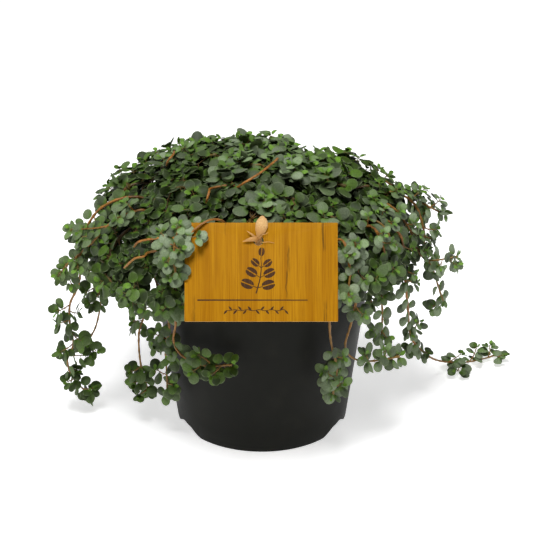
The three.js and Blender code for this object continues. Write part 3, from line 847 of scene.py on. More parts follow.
def ribbon(body, layer, route, half_widths, thickness, arch, steps, sides):
    """Adds a closed band along a route, arched across its width by arch, with strand marks."""
    distances = np.linspace(0, route.length, steps)
    across_way = np.array([1.0, 0.0, 0.0])
    rings = []
    for i, (distance, half) in enumerate(zip(distances, half_widths)):
        centre, heading = route.at(distance), route.heading(distance)
        side = square_to(across_way, heading)
        out = np.cross(side, heading)
        marks = [2 * k / sides - 1 for k in range(sides + 1)]
        ring = []
        for face_side in (1, -1):
            for mark in marks[::face_side]:
                sag = arch[i] * mark * mark
                ripple = 0.00010 * math.sin(11 * mark + 0.9 * i) * (1 - abs(mark))
                rise = face_side * thickness / 2 * (1 - 0.6 * mark * mark) - sag + ripple
                vertex = body.verts.new(centre + side * half * mark + out * rise)
                vertex[layer] = (mark, distance / MM, face_side)
                ring.append(vertex)
        rings.append(ring)
    join_rings(body, rings)


class PLANT_OT_make_raffia_tie(Operator):
    """Makes the raffia strip through the tag's hole, with its loose tail and a stray fibre."""

    bl_idname = "plant.make_raffia_tie"
    bl_label = "Raffia tie"

    def execute(self, context):
        tag, pot = context.scene.plant_tag, context.scene.plant_pot
        to_world = tag_matrix(tag)

        def on_tag(x, up, out):
            return np.array(to_world @ Vector((tag.hole_x + x, up, out)))

        drop, thick = tag.hole_drop, tag.thickness
        # Place beside the hole, up and out of the front face, then half width and arch in
        # millimetres: from behind the hole, through it, over the top edge and down behind.
        rows = (
            ((0.0, -drop + 0.0010, -thick - 0.0030), 1.0, 0.1),
            ((0.0, -drop + 0.0012, -thick), 1.0, 0.2),
            ((0.0002, -drop + 0.0014, -0.0006), 1.2, 0.3),
            ((0.0004, -drop + 0.0029, 0.0010), 1.8, 0.6),
            ((0.0010, -0.0056, 0.0019), 3.0, 1.0),
            ((0.0018, -0.0020, 0.0024), 3.6, 1.4),
            ((0.0021, 0.0014, 0.0020), 3.1, 1.4),
            ((0.0022, 0.0036, 0.0004), 1.7, 1.0),
            ((0.0020, 0.0034, -0.0022), 1.2, 0.5),
            ((0.0010, 0.0004, -thick - 0.0022), 1.7, 0.4),
        )
        strip = [on_tag(*place) for place, _, _ in rows]
        strip.append(np.array([tag.hole_x, -0.0765, 0.158]))
        strip.append(np.array([tag.hole_x, -0.074, pot.height + 0.0005]))
        route = Route(spline(strip))
        steps = 80
        marks = route.marks[::PER_SPAN]
        spread = np.linspace(0, route.length, steps)
        half = np.interp(spread, marks, in_metres([row[1] for row in rows] + [2.1, 2.1]))
        arch = np.interp(spread, marks, in_metres([row[2] for row in rows] + [0.3, 0.1]))
        body = bmesh.new()
        layer = body.verts.layers.float_vector.new("strand")
        ribbon(body, layer, route, half, 0.0005, arch, steps, sides=12)
        # Half width at the start, then the line in places like those above, up from the hole.
        wisps = (
            (0.00190, ((-0.0006, 0.0004, -0.0016), (-0.0022, 0.0008, 0.0008),
                       (-0.0050, 0.0003, 0.0018), (-0.0092, -0.0008, 0.0012))),
            (0.00085, ((-0.0012, 0.0016, -0.0010), (-0.0024, 0.0022, 0.0010),
                       (-0.0042, 0.0036, 0.0019), (-0.0068, 0.0054, 0.0016))),
            (0.00024, ((0.0010, -0.0006, -0.0010), (0.0026, -0.0012, 0.0007),
                       (0.0056, -0.0009, 0.0009), (0.0092, -0.0016, 0.0005))),
            (0.00030, ((0.0006, 0.0012, 0.0006), (0.0022, 0.0030, 0.0014),
                       (0.0042, 0.0036, 0.0015), (0.0056, 0.0046, 0.0012))),
        )
        for wide, line in wisps:
            points = [on_tag(x, up - drop, out) for x, up, out in line]
            wisp(body, layer, Route(spline(points)), wide, 0.00010)
        for face in body.faces:
            face.smooth = True
        finished(
            "raffia_strip", mesh_from(body, "raffia_strip", math.radians(70)),
            [dry_raffia(tag)], "raffia_tie",
        )
        return {"FINISHED"}


def wisp(body, layer, route, wide, fine, steps=14):
    """Adds a short tapering fibre that lies near the tag."""
    rings = []
    for i, distance in enumerate(np.linspace(0, route.length, steps)):
        centre, heading = route.at(distance), route.heading(distance)
        out = square_to(np.array([0.0, -1.0, 0.5]), heading)
        side = np.cross(heading, out)
        half = wide + (fine - wide) * (i / (steps - 1)) ** 1.4
        ring = []
        for k in range(6):
            angle = 2 * math.pi * k / 6
            spot = centre + side * half * math.cos(angle) + out * half * 0.4 * math.sin(angle)
            vertex = body.verts.new(spot)
            vertex[layer] = (math.cos(angle) * 0.3, distance / MM, math.sin(angle))
            ring.append(vertex)
        rings.append(ring)
    join_rings(body, rings)


# ---------------------------------------------------------------- one leaf


LEAF_ROWS = (0.045, 0.175, 0.36, 0.57, 0.78, 0.94)
LEAF_COLUMNS = (-0.55, 0.0, 0.55)


class LeafPattern:
    """The points and faces that every blade shares. Its local frame has x across the blade,
    y from foot to tip and z out of the upper face, and a blade is 1 long in it."""

    def __init__(self):
        rows, spots = len(LEAF_ROWS), [(0, 0.0, 0), (0, 1.0, 0)]
        left = [self.spot(spots, -1, v, 0) for v in LEAF_ROWS]
        right = [self.spot(spots, 1, v, 0) for v in LEAF_ROWS]
        top = [[self.spot(spots, u, v, 1) for v in LEAF_ROWS] for u in LEAF_COLUMNS]
        under = [self.spot(spots, 0, v, -1) for v in LEAF_ROWS]
        self.across, self.along, self.lift = np.array(spots, float).T
        self.is_rim = self.lift == 0
        circle = np.sqrt(np.clip(1 - (2 * self.along - 1) ** 2, 0, 1))
        self.half = circle * (1.05 - 0.10 * self.along)
        self.upper = self.cover([left, *top, right], rows, up=True)
        self.lower = self.cover([left, under, right], rows, up=False)

    @staticmethod
    def spot(spots, across, along, lift):
        spots.append((across, along, lift))
        return len(spots) - 1

    @staticmethod
    def cover(columns, rows, up):
        faces = []
        for a, b in zip(columns, columns[1:]):
            faces.append((0, b[0], a[0]))
            faces += [(a[i], b[i], b[i + 1], a[i + 1]) for i in range(rows - 1)]
            faces.append((a[-1], b[-1], 1))
        return faces if up else [face[::-1] for face in faces]


LEAF = LeafPattern()
STEM_SLOT, UPPER_SLOT, LOWER_SLOT = 0, 1, 2

# How blades differ at random, between two values each: how far they cup across and curl along
# their length, fold at the midrib, and how wide they are.
CUP = (-0.62, -0.12)
CURL = (-0.50, -0.04)
FOLD = (0.02, 0.10)
WIDE = (0.88, 1.08)

# What youth adds to the cup and to the curl, and takes from the width.
YOUNG_CUP = 0.95
YOUNG_CURL = 0.25
YOUNG_NARROW = 0.22

# Where along the blade it lies flattest, and the height of the waves in its rim.
FLATTEST = 0.35
RIM_WAVE = 0.014

# How much a stem swells at a knot, how far the swelling spreads along it, and how near its ends
# a knot gets no ring of its own.
KNOT_SWELL = 0.35
KNOT_SPREAD = 0.0007
KNOT_MARGIN = 0.0004


class Shoot:
    """The mesh of one shoot under construction: its stems, leaf stalks and blades."""

    def __init__(self, settings, rng):
        self.settings = settings
        self.rng = rng
        self.points, self.blades, self.tones, self.rims = [], [], [], []
        self.faces, self.slots = [], []
        self.count = 0

    def add(self, points, tone, blade=None, rim=None):
        """Adds points and returns the number of the first."""
        first, amount = self.count, len(points)
        self.points.append(points)
        self.tones.append(np.tile(tone, (amount, 1)) if np.ndim(tone) == 1 else tone)
        self.blades.append(np.zeros((amount, 3)) if blade is None else blade)
        self.rims.append(np.zeros(amount, bool) if rim is None else rim)
        self.count += amount
        return first

    def face(self, first, corners, slot):
        self.faces.extend([tuple(first + k for k in face) for face in corners])
        self.slots.extend([slot] * len(corners))

    def stem(self, route, radii, knots=(), youth=(0.0, 0.0), sides=6, step=0.0026):
        """Adds a round stem that tapers, swells at its knots and is closed at both ends."""
        distances = np.unique(np.concatenate([
            np.linspace(0, route.length, max(3, int(route.length / step))),
            [k for k in knots if KNOT_MARGIN < k < route.length - KNOT_MARGIN],
        ]))
        turns = 2 * math.pi * np.arange(sides) / sides
        rings, tones = [], []
        variety = self.rng.random()
        sections = sections_along(route, distances, any_side(route.heading(0)))
        for distance, (side, lift) in zip(distances, sections):
            share = distance / route.length
            near = sum(math.exp(-(((distance - k) / KNOT_SPREAD) ** 2)) for k in knots)
            radius = (radii[0] + (radii[1] - radii[0]) * share) * (1 + KNOT_SWELL * near)
            ring = route.at(distance) + radius * (
                np.cos(turns)[:, None] * side + np.sin(turns)[:, None] * lift
            )
            rings.append(ring)
            green = youth[0] + (youth[1] - youth[0]) * share**2
            # Painted shade for the stem: how much darker it is painted here, deep inside the crown.
            inside = 1 - 0.9 * light_reaching(route.at(distance), *STEM_SHADE)
            tones.append(np.tile((green, inside, variety), (sides, 1)))
        tip = route.at(route.length) + route.heading(route.length) * radii[1]
        points = np.vstack([*rings, [route.at(0), tip]])
        tones = np.vstack([*tones, tones[0][:1], tones[-1][:1]])
        first = self.add(points, tones)
        walls = []
        for row in range(len(rings) - 1):
            for k in range(sides):
                a, b = row * sides + k, row * sides + (k + 1) % sides
                walls.append((a, b, b + sides, a + sides))
        foot, top, last = len(points) - 2, len(points) - 1, (len(rings) - 1) * sides
        for k in range(sides):
            n = (k + 1) % sides
            walls.append((foot, n, k))
            walls.append((last + k, last + n, top))
        self.face(first, walls, STEM_SLOT)

    def stalk(self, start, end, radius, tone):
        """Adds the short three-sided stalk that carries a blade."""
        heading = unit(end - start)
        side = any_side(heading)
        lift = np.cross(heading, side)
        turns = 2 * math.pi * np.arange(3) / 3
        ring = radius * (np.cos(turns)[:, None] * side + np.sin(turns)[:, None] * lift)
        first = self.add(np.vstack([start + ring, end + ring * 0.8]), tone)
        walls = [(k, (k + 1) % 3, (k + 1) % 3 + 3, k + 3) for k in range(3)]
        self.face(first, [*walls, (2, 1, 0), (3, 4, 5)], STEM_SLOT)

    def leaf(self, foot, way, normal, size, youth, bloom, variety):
        """Adds one blade whose foot is at a point, and which lies along way and faces normal."""
        rng, settings = self.rng, self.settings
        across_way = np.cross(way, normal)
        cup = rng.uniform(*CUP) + YOUNG_CUP * youth
        curl = rng.uniform(*CURL) + YOUNG_CURL * youth
        fold = rng.uniform(*FOLD)
        wave = rng.uniform(0, 2 * math.pi)
        wide = settings.leaf_width * rng.uniform(*WIDE) * (1 - YOUNG_NARROW * youth)
        x = LEAF.across * LEAF.half * wide / 2
        centred = LEAF.along - FLATTEST
        z = cup * (2 * x) ** 2 * 0.5 + curl * centred**2 + fold * np.abs(x)
        z = z + RIM_WAVE * np.sin(9 * LEAF.along + wave) * LEAF.across * LEAF.half
        z = z + LEAF.lift * settings.leaf_thickness / 2 / size
        local = np.stack([x, LEAF.along, z], 1) * size
        points = foot + local @ np.stack([across_way, way, normal])
        tone = (youth, bloom, variety)
        blade = np.stack([LEAF.across, LEAF.along, LEAF.lift], 1)
        first = self.add(points, tone, blade, LEAF.is_rim)
        self.face(first, LEAF.upper, UPPER_SLOT)
        self.face(first, LEAF.lower, LOWER_SLOT)

    def mesh(self, name):
        mesh = bpy.data.meshes.new(name)
        mesh.from_pydata(np.vstack(self.points), [], self.faces)
        mesh.polygons.foreach_set("material_index", self.slots)
        mesh.polygons.foreach_set("use_smooth", [True] * len(self.faces))
        rims = np.concatenate(self.rims)
        ends = np.empty(len(mesh.edges) * 2, np.int32)
        mesh.edges.foreach_get("vertices", ends)
        sharp = rims[ends.reshape(-1, 2)].all(1)
        mesh.attributes.new("sharp_edge", "BOOLEAN", "EDGE").data.foreach_set("value", sharp)
        for title, rows in (("blade", self.blades), ("tone", self.tones)):
            values = np.vstack(rows).astype(np.float32).ravel()
            mesh.attributes.new(title, "FLOAT_VECTOR", "POINT").data.foreach_set("vector", values)
        mesh.validate()
        return mesh


# ---------------------------------------------------------------- room for the leaves


# Bare stems that show where they run over the crown's leaves and dip under them again, in
# millimetres. The last one runs over the tag's top left corner.
RUNNERS = (
    ((-15, -36, 173), (-10, -43, 179), (-1, -38, 183), (8, -26, 186), (11, -4, 181)),
    ((-48, -61, 150), (-52, -68, 154), (-61, -66, 153), (-72, -64, 150), (-76, -56, 143)),
    ((-66, -61, 142), (-69, -70, 143), (-74, -70, 142), (-78, -68, 138), (-82, -60, 131)),
    ((-55, 28, 174), (-54, -8, 184), (-57, -14, 182), (-59, -2, 174)),
    ((-30, -37, 173), (-31, -48, 175), (-32, -51, 172), (-33, -45, 167)),
    ((-21, -66, 161), (-24, -74, 168), (-30, -79.6, 170.3), (-37, -83.2, 167.2), (-44, -87, 161)),
)
RUNNER_RADII = (0.00080, 0.00064)

# How far the leaves keep: above the ground, from a bare stem, over the pot's lip, from its wall,
# past the tag's edges, behind the tag, and, on the shoot that crosses the tag, from both its faces.
LOWEST_LEAF = 0.0028
RUNNER_ROOM = 0.0032
LIP_ROOM = 0.0006
WALL_ROOM = 0.0008
TAG_EDGE_ROOM = 0.0012
TAG_BACK_ROOM = 0.0010
CROSSING_ROOM = (0.0008, 0.0006)

# The lip's band, measured down from the pot's top, and how far into the pot leaves keep from it.
LIP_BAND = 0.008
LIP_DEPTH = 0.004

# The stretch of the pot's front that shows bare under the tag.
BARE_HALF_WIDTH = 0.041
BARE_FRONT_Y = -0.045
BARE_BOTTOM = 0.084
BARE_TOP = 0.109

# The space of the raffia's loop over the tag's top edge: its middle beside the hole, half its
# width, its top, and how far it reaches behind the tag.
LOOP_SIDE = 0.0008
LOOP_HALF_WIDTH = 0.0050
LOOP_TOP = 0.0075
LOOP_DEPTH = 0.006


class Room:
    """Tells which places leaves keep clear of: the ground, the bare stems, the pot and the bare
    stretch of its front, the tag, and the raffia's loop."""

    def __init__(self, scene):
        self.scene = scene
        self.to_tag = np.array(tag_matrix(scene.plant_tag).inverted())
        self.runners = np.vstack([spline(in_metres(line[1:-1]), 6) for line in RUNNERS])

    def filled(self, point, over_tag=False):
        """Whether leaves keep clear of this point. Those of the shoot over the tag may cross it."""
        return bool(
            point[2] < LOWEST_LEAF
            or np.linalg.norm(self.runners - point, axis=1).min() < RUNNER_ROOM
            or self.on_bare_front(point)
            or self.at_pot(point)
            or self.at_tag(point, over_tag)
        )

    @staticmethod
    def on_bare_front(point):
        in_front = abs(point[0]) < BARE_HALF_WIDTH and point[1] < BARE_FRONT_Y
        return in_front and BARE_BOTTOM < point[2] < BARE_TOP

    def at_pot(self, point):
        pot = self.scene.plant_pot
        radius = math.hypot(point[0], point[1])
        if point[2] < pot.height - LIP_BAND:
            return radius < wall_radius(pot, point[2]) + WALL_ROOM
        by_lip = pot.lip_radius - LIP_DEPTH < radius < pot.lip_radius + WALL_ROOM
        return by_lip and point[2] < pot.height + LIP_ROOM

    def at_tag(self, point, over_tag):
        tag = self.scene.plant_tag
        x, up, out = self.to_tag[:3, :3] @ point + self.to_tag[:3, 3]
        half, edge = tag.width / 2, TAG_EDGE_ROOM
        if abs(x) < half + edge and -tag.height - edge < up < edge:
            if over_tag:
                behind, before = CROSSING_ROOM
                return -tag.thickness - behind < out < before
            return out > -tag.thickness - TAG_BACK_ROOM
        by_loop = abs(x - tag.hole_x - LOOP_SIDE) < LOOP_HALF_WIDTH and 0 < up < LOOP_TOP
        return by_loop and out > -tag.thickness - LOOP_DEPTH


# How far behind the pot's axis the blades still turn to the front, and the height from which,
# over a span, they turn more and more to the sky.
FRONT_REACH = 0.060
TOP_START = 0.168
TOP_SPAN = 0.026

# The shade inside the crown: the share of light that it takes away, and the height from which,
# over a span, it sets in.
DEEPEST_SHADE = 0.88
SHADE_START = 0.095
SHADE_SPAN = 0.035

# For the blades and for the stems: the depth under the crown's surface at which the shade starts,
# and the further depth over which it grows to its deepest.
BLADE_SHADE = (-0.0003, 0.0078)
STEM_SHADE = (0.0, 0.008)

# The waxy bloom, which also carries painted shade: the least of it, what it gains with height, and
# the share that it loses to the left. The gain with height is partly real, more bloom on the
# crown, and partly painted shade on the low shoots under it; the loss to the left is painted
# shade, for the side that the light reaches less. A patch without bloom has a middle and a spread.
BLOOM = {
    "least": 0.64, "gain": 0.48, "start": 0.070, "span": 0.108,
    "left_shade": 0.50, "left_start": -0.015, "left_span": 0.065,
}
# Patches without bloom, where the blades are plain green. The one at the back right of the crown's
# top is painted light: its plain green stands in for light shining through backlit blades.
BLOOMLESS_PATCHES = ((in_metres((61, 20, 169)), 0.041), (in_metres((-22, -76, 72)), 0.016))
LYING_HEIGHT = 0.040


def light_way(point, hanging):
    """The direction that a blade here turns its face to."""
    face_front = clamped((FRONT_REACH - point[1]) / FRONT_REACH)
    if hanging:
        outward = unit(np.array([point[0], point[1], 0.0]))
        return unit(0.65 * outward + 0.35 * UP + 0.60 * face_front * FRONT)
    if point[2] < LYING_HEIGHT:
        return unit(0.90 * UP + 0.30 * FRONT)
    high = clamped((point[2] - TOP_START) / TOP_SPAN)
    outward = crown_normal(point) * (0.85 - 0.35 * high)
    return unit(outward + (0.48 + 0.35 * high) * UP + 0.28 * face_front * (1 - high) * FRONT)


def light_reaching(point, start, fade):
    """The share of light left here. It fades from the start depth under the crown's surface
    inwards, but not among the shoots that hang below the crown."""
    under = clamped((crown_depth(point) - start) / fade)
    among = clamped((point[2] - SHADE_START) / SHADE_SPAN)
    return 1 - DEEPEST_SHADE * under * among


def bloom_and_shade_at(point):
    """How waxy the blades are here, with painted shade in it: most on the crown, less low down,
    where it is partly painted shade under the crown, less to the left, where it is painted
    shade, and none in the middle of a patch without bloom."""
    height = clamped((point[2] - BLOOM["start"]) / BLOOM["span"])
    left = clamped((BLOOM["left_start"] - point[0]) / BLOOM["left_span"])
    patch_gap = min(np.linalg.norm(point - place) / spread for place, spread in BLOOMLESS_PATCHES)
    waxy_and_shaded = (BLOOM["least"] + BLOOM["gain"] * height) * (1 - BLOOM["left_shade"] * left)
    return waxy_and_shaded * (1 - math.exp(-(patch_gap**2)))


# Where the crown stands up above its even surface: place (x, y), spread and rise.
CROWN_SWELLS = (
    ((0.064, 0.030), 0.015, 0.018),
    ((-0.070, 0.030), 0.026, 0.007),
    ((-0.010, 0.012), 0.007, 0.003),
)

# Leaf pairs behind a growing tip: distance from it in metres, share of the full leaf size, how
# steeply the pair stands up along the stem in degrees, and its youth.
TIP_PAIRS = (
    (0.0001, 0.50, 36, 0.85), (0.0007, 0.80, 18, 0.25), (0.0022, 0.98, 9, 0.0),
    (0.0055, 1.03, 8, 0.0),
)


# The other pairs, at random between two values each: the first gap behind the tip's pairs and
# the gaps after it, as shares of the spacing, the size as a share, and the lift in degrees.
FIRST_GAP = (0.75, 1.2)
NEXT_GAP = (0.75, 1.35)
PAIR_SHARE = (0.84, 1.14)
PAIR_LIFT = (0, 14)


def pair_places(route, rng, spacing, bare_root):
    """Distance from the root, size share, lift and youth of each leaf pair, from the tip back."""
    found = []
    for back, share, lift, youth in TIP_PAIRS:
        if back < route.length - bare_root * 0.3:
            found.append((route.length - back, share, lift, youth))
    back = TIP_PAIRS[-1][0] + spacing * rng.uniform(*FIRST_GAP)
    while back < route.length - bare_root:
        share, lift = rng.uniform(*PAIR_SHARE), rng.uniform(*PAIR_LIFT)
        found.append((route.length - back, share, lift, 0.0))
        back += spacing * rng.uniform(*NEXT_GAP)
    return found


# A stem hangs where its heading drops by more than this. Blades sag more there, and those below
# the crown, at any stem, stand more loosely.
HANGING_DROP = -0.35
SAG_HANGING = 0.22
SAG_STANDING = 0.12
LOOSE_BELOW = 0.120
LOOSE_LOW = 0.32
LOOSE_HIGH = 0.17

# How pairs and blades differ at random, between two values each: the turn past a quarter from one
# pair to the next and the roll of a lying pair, in radians, the steepness of a blade in degrees,
# its size, its bloom and its shade of green.
PAIR_TURN = (-0.22, 0.22)
LYING_ROLL = (-0.35, 0.35)
STEEPNESS = (-7, 7)
BLADE_SIZE = (0.88, 1.10)
BLADE_BLOOM = (0.75, 1.0)
BLADE_GREEN = (0.25, 1.0)

# How far a grown blade turns square to the light, how much it swings forward for that, how much
# its sag differs, and how much a blade on a standing stem looks along the stem.
SQUARE_TO_LIGHT = 0.88
SWING_FORWARD = (0.4, 0.9)
SAG_RANGE = (0.3, 1.4)
ALONG_STEM = 0.20

# The share of the grown blades that are missing, and the bloom that a young one lacks.
MISSING_BLADES = 0.06
YOUNG_BLOOM_LOSS = 0.4

# The stalk of a blade: the least of its length and what it gains with the blade's, its radius,
# its tone (youth, shade, variety), and the size share up to which a blade has no visible stalk.
STALK_LEAST = 0.0006
STALK_GAIN = 0.16
STALK_RADIUS = 0.00022
STALK_TONE = (0.65, 0.0, 0.4)
LARGEST_UNSTALKED = 0.5


def within(distance, stretches):
    """Whether a distance lies in one of the stretches, each given by its two ends."""
    return any(low < distance < high for low, high in stretches)


def blade_way(rng, across, heading, light, lift, youth, sag):
    """The direction of one blade from its foot. The more it has grown, the more it lies square
    to the light, and the more it sags."""
    steep = math.radians(lift + rng.uniform(*STEEPNESS))
    way = across * math.cos(steep) + heading * math.sin(steep)
    upright = np.dot(way, light)
    grown = 1 - youth
    way = way - light * upright * SQUARE_TO_LIGHT * grown
    way = way + heading * abs(upright) * grown * rng.uniform(*SWING_FORWARD)
    return unit(way - UP * sag * grown * rng.uniform(*SAG_RANGE))


def set_leaves(shoot, room, route, places, vigour, over_tag=False, shade=1.0, bare=()):
    """Sets opposite pairs of blades at the places along a stem, each pair across the last."""
    rng, settings = shoot.rng, shoot.settings
    turn = rng.uniform(0, math.pi)
    first_side = any_side(route.heading(route.length))
    for distance, share, lift, youth in places:
        turn += math.pi / 2 + rng.uniform(*PAIR_TURN)
        if within(distance, bare):
            continue
        node, heading = route.at(distance), route.heading(distance)
        side = square_to(first_side, heading)
        axis = side * math.cos(turn) + np.cross(heading, side) * math.sin(turn)
        hanging = heading[2] < HANGING_DROP
        if node[2] < LYING_HEIGHT and not hanging:
            roll = rng.uniform(*LYING_ROLL)
            axis = unit(np.cross(heading, UP)) * math.cos(roll) + UP * math.sin(roll)
        light = light_way(node, hanging)
        sag = SAG_HANGING if hanging else SAG_STANDING
        loose = LOOSE_LOW if node[2] < LOOSE_BELOW else LOOSE_HIGH
        for sign in (1, -1):
            if youth == 0 and rng.random() < MISSING_BLADES:
                continue
            way = blade_way(rng, sign * axis, heading, light, lift, youth, sag)
            facing = light + (0.0 if hanging else ALONG_STEM) * heading + in_random(rng, loose)
            normal = square_to(facing, way)
            size = settings.leaf_length * share * vigour * rng.uniform(*BLADE_SIZE)
            foot = node + way * (STALK_LEAST + STALK_GAIN * size)
            reach = foot + way * size
            if any(room.filled(spot, over_tag) for spot in (foot, reach, (foot + reach) / 2)):
                continue
            # Painted shade: the light left here lowers the blade's bloom and darkens its shade of
            # green, deep in the crown and on twigs that end inside it.
            lit = shade * light_reaching(foot, *BLADE_SHADE)
            bloom = lit * bloom_and_shade_at(foot) * (1 - YOUNG_BLOOM_LOSS * youth) * rng.uniform(*BLADE_BLOOM)
            if share > LARGEST_UNSTALKED:
                shoot.stalk(node, foot + way * size * 0.05, STALK_RADIUS, STALK_TONE)
            shoot.leaf(foot, way, normal, size, youth, bloom, lit * rng.uniform(*BLADE_GREEN))


def in_random(rng, spread):
    return np.array([rng.gauss(0, spread) for _ in range(3)])


# Radii of a twig at its foot and at its tip.
SPRIG_RADII = (0.00048, 0.00030)
SIDE_TWIG_RADII = (0.00045, 0.00030)

# The chance that a node of a hanging stem carries a side twig, up by the crown and below it, the
# height between the two, and the reach of such a twig.
CHANCE_HIGH = 0.55
CHANCE_LOW = 0.12
CHANCE_HEIGHT = 0.100
SIDE_TWIG_REACH = 0.0070

# How a side twig's reach differs at random, and how far its way strays.
REACH_RANGE = (0.6, 1.25)
SIDE_TWIG_STRAY = 0.7


def add_sprig(shoot, room, route, mark, tip, vigour, over_tag):
    """Adds one leafy twig from a mark on the route out to its tip."""
    start, heading = route.at(mark), route.heading(mark)
    gap = float(np.linalg.norm(tip - start))
    twig = Route(bezier([start, start + (heading * 0.3 + UP * 0.1) * gap, tip], 12))
    shoot.stem(twig, SPRIG_RADII, youth=(0.1, 0.9), sides=5)
    places = pair_places(twig, shoot.rng, shoot.settings.pair_spacing * 0.85, 0.003)
    set_leaves(shoot, room, twig, places, vigour, over_tag)


def side_twigs(shoot, room, route, places, vigour, over_tag, bare):
    """Adds short leafy twigs from some nodes of a trailing stem."""
    rng = shoot.rng
    for distance, _, _, youth in places:
        node, heading = route.at(distance), route.heading(distance)
        chance = CHANCE_HIGH if node[2] > CHANCE_HEIGHT else CHANCE_LOW
        if youth > 0 or within(distance, bare) or rng.random() > chance:
            continue
        light = light_way(node, heading[2] < HANGING_DROP)
        away = unit(square_to(light + in_random(rng, SIDE_TWIG_STRAY), heading) + 0.5 * heading)
        span = SIDE_TWIG_REACH * rng.uniform(*REACH_RANGE)
        end = node + away * span + UP * 0.1 * span
        if room.filled(end, over_tag) or room.filled((node + end) / 2, over_tag):
            continue
        bend = node + away * span * 0.5 - UP * 0.12 * span
        twig = Route(bezier([node, bend, end], 12))
        shoot.stem(twig, SIDE_TWIG_RADII, youth=(0.15, 0.9), sides=5)
        inner = pair_places(twig, rng, shoot.settings.pair_spacing, 0.004)
        set_leaves(shoot, room, twig, inner, vigour * 0.92, over_tag)


# ---------------------------------------------------------------- trailing shoots


# Each trailing shoot leaves the soil at its root (x, y) and runs through its points, all in
# millimetres. Between the bare marks, which count points along the route from its root, the
# stem shows without leaves.
TRAILS = (
    ((-48, -10), ((-72, -12, 156), (-98, -15, 152), (-112, -17, 130), (-115, -18, 102),
     (-122, -16, 85), (-123, -14, 67), (-122, -12, 54), (-127, -8, 40), (-124, -5, 25),
     (-114, -4, 12)), ((3.2, 4.9), (7.2, 7.9))),
    ((-46, -24), ((-68, -34, 157), (-90, -34, 150), (-106, -32, 133), (-121, -31, 119)), ()),
    ((-53, 6), ((-74, 6, 149), (-92, -2, 139), (-101, -8, 118), (-104, -9, 98),
     (-103, -9, 85), (-107, -8, 66), (-113, -7, 54)), ((5.3, 6.3),)),
    ((-54, -18), ((-73, -25, 146), (-81, -28, 126), (-77, -27, 97), (-74, -26, 84),
     (-78, -25, 69), (-78, -22, 46), (-74, -20, 24)), ((5.0, 5.8),)),
    ((-46, -36), ((-64, -47, 146), (-66, -50, 126), (-60, -50, 104), (-57, -47, 84),
     (-60, -44, 70), (-60, -42, 54), (-60, -40, 33)), ((5.4, 5.9),)),
    ((-34, -46), ((-49, -62, 146), (-52, -66, 122), (-52, -62, 96), (-54, -57, 80),
     (-48, -62, 72), (-34, -70, 70), (-18, -76, 74)), ((2.8, 3.5),)),
    ((-20, -52), ((-37, -70, 160), (-47, -81, 166), (-50, -91, 156), (-49, -97, 143)), ()),
    ((53, 3), ((76, 6, 152), (95, 5, 147), (103, 2, 128), (103, 0, 114),
     (109, 0, 104), (112, 0, 95), (117, 0, 80)), ((5.2, 6.2),)),
    ((51, -8), ((74, -12, 153), (91, -13, 138), (98, -13, 121), (106, -12, 114),
     (123, -11, 116)), ((3.1, 4.2),)),
    ((47, -27), ((65, -38, 149), (74, -43, 136), (75, -42, 118), (74, -40, 103),
     (75, -39, 90), (75, -38, 75)), ((3.9, 4.7),)),
    ((51, -18), ((72, -25, 148), (85, -27, 138), (88, -25, 124), (90, -23, 105),
     (93, -16, 82), (96, -3, 60), (100, 8, 46), (108, 22, 31), (117, 36, 18), (128, 48, 9),
     (142, 56, 4.5), (156, 63, 3.5), (165, 67, 4.5)), ((5.9, 6.5), (8.3, 9.9))),
    ((27, -50), ((38, -67, 147), (41, -71, 126), (41, -69, 98), (42, -69, 86),
     (46, -68, 66), (44, -66, 48)), ((2.6, 3.9),)),
    ((40, -41), ((54, -56, 147), (58, -62, 122), (55, -62, 98), (51, -63, 80),
     (56, -60, 70), (67, -53, 64), (86, -45, 63)), ((2.8, 5.5),)),
    ((34, -45), ((47, -61, 150), (52, -71, 137), (51, -78, 121)), ()),
    ((38, 30), ((66, 26, 156), (90, 16, 149), (106, 9, 142), (116, 6, 138)), ()),
    ((50, 17), ((73, 27, 147), (86, 34, 130), (88, 37, 104), (92, 38, 80)), ()),
    ((42, 34), ((60, 49, 147), (72, 59, 126), (74, 62, 98), (71, 64, 70), (76, 66, 46)),
     ((3.1, 3.7),)),
    ((28, 46), ((40, 66, 149), (48, 82, 134), (50, 88, 112), (47, 90, 92)), ()),
    ((12, 53), ((17, 76, 147), (20, 89, 124), (18, 91, 94), (21, 90, 64), (17, 93, 38)),
     ((3.2, 3.7),)),
    ((-6, 54), ((-9, 76, 150), (-14, 93, 138), (-17, 100, 117)), ()),
    ((-22, 49), ((-32, 69, 147), (-41, 81, 122), (-42, 85, 90), (-38, 86, 62)), ((2.6, 3.2),)),
    ((-37, 39), ((-54, 56, 148), (-67, 68, 130), (-71, 72, 104), (-68, 73, 80)), ()),
    ((-48, 24), ((-68, 35, 147), (-84, 43, 126), (-88, 45, 96), (-84, 44, 66), (-88, 42, 40)),
     ((3.1, 3.6),)),
)

# The trail, counted from 1, that crosses the tag.
OVER_TAG = 7

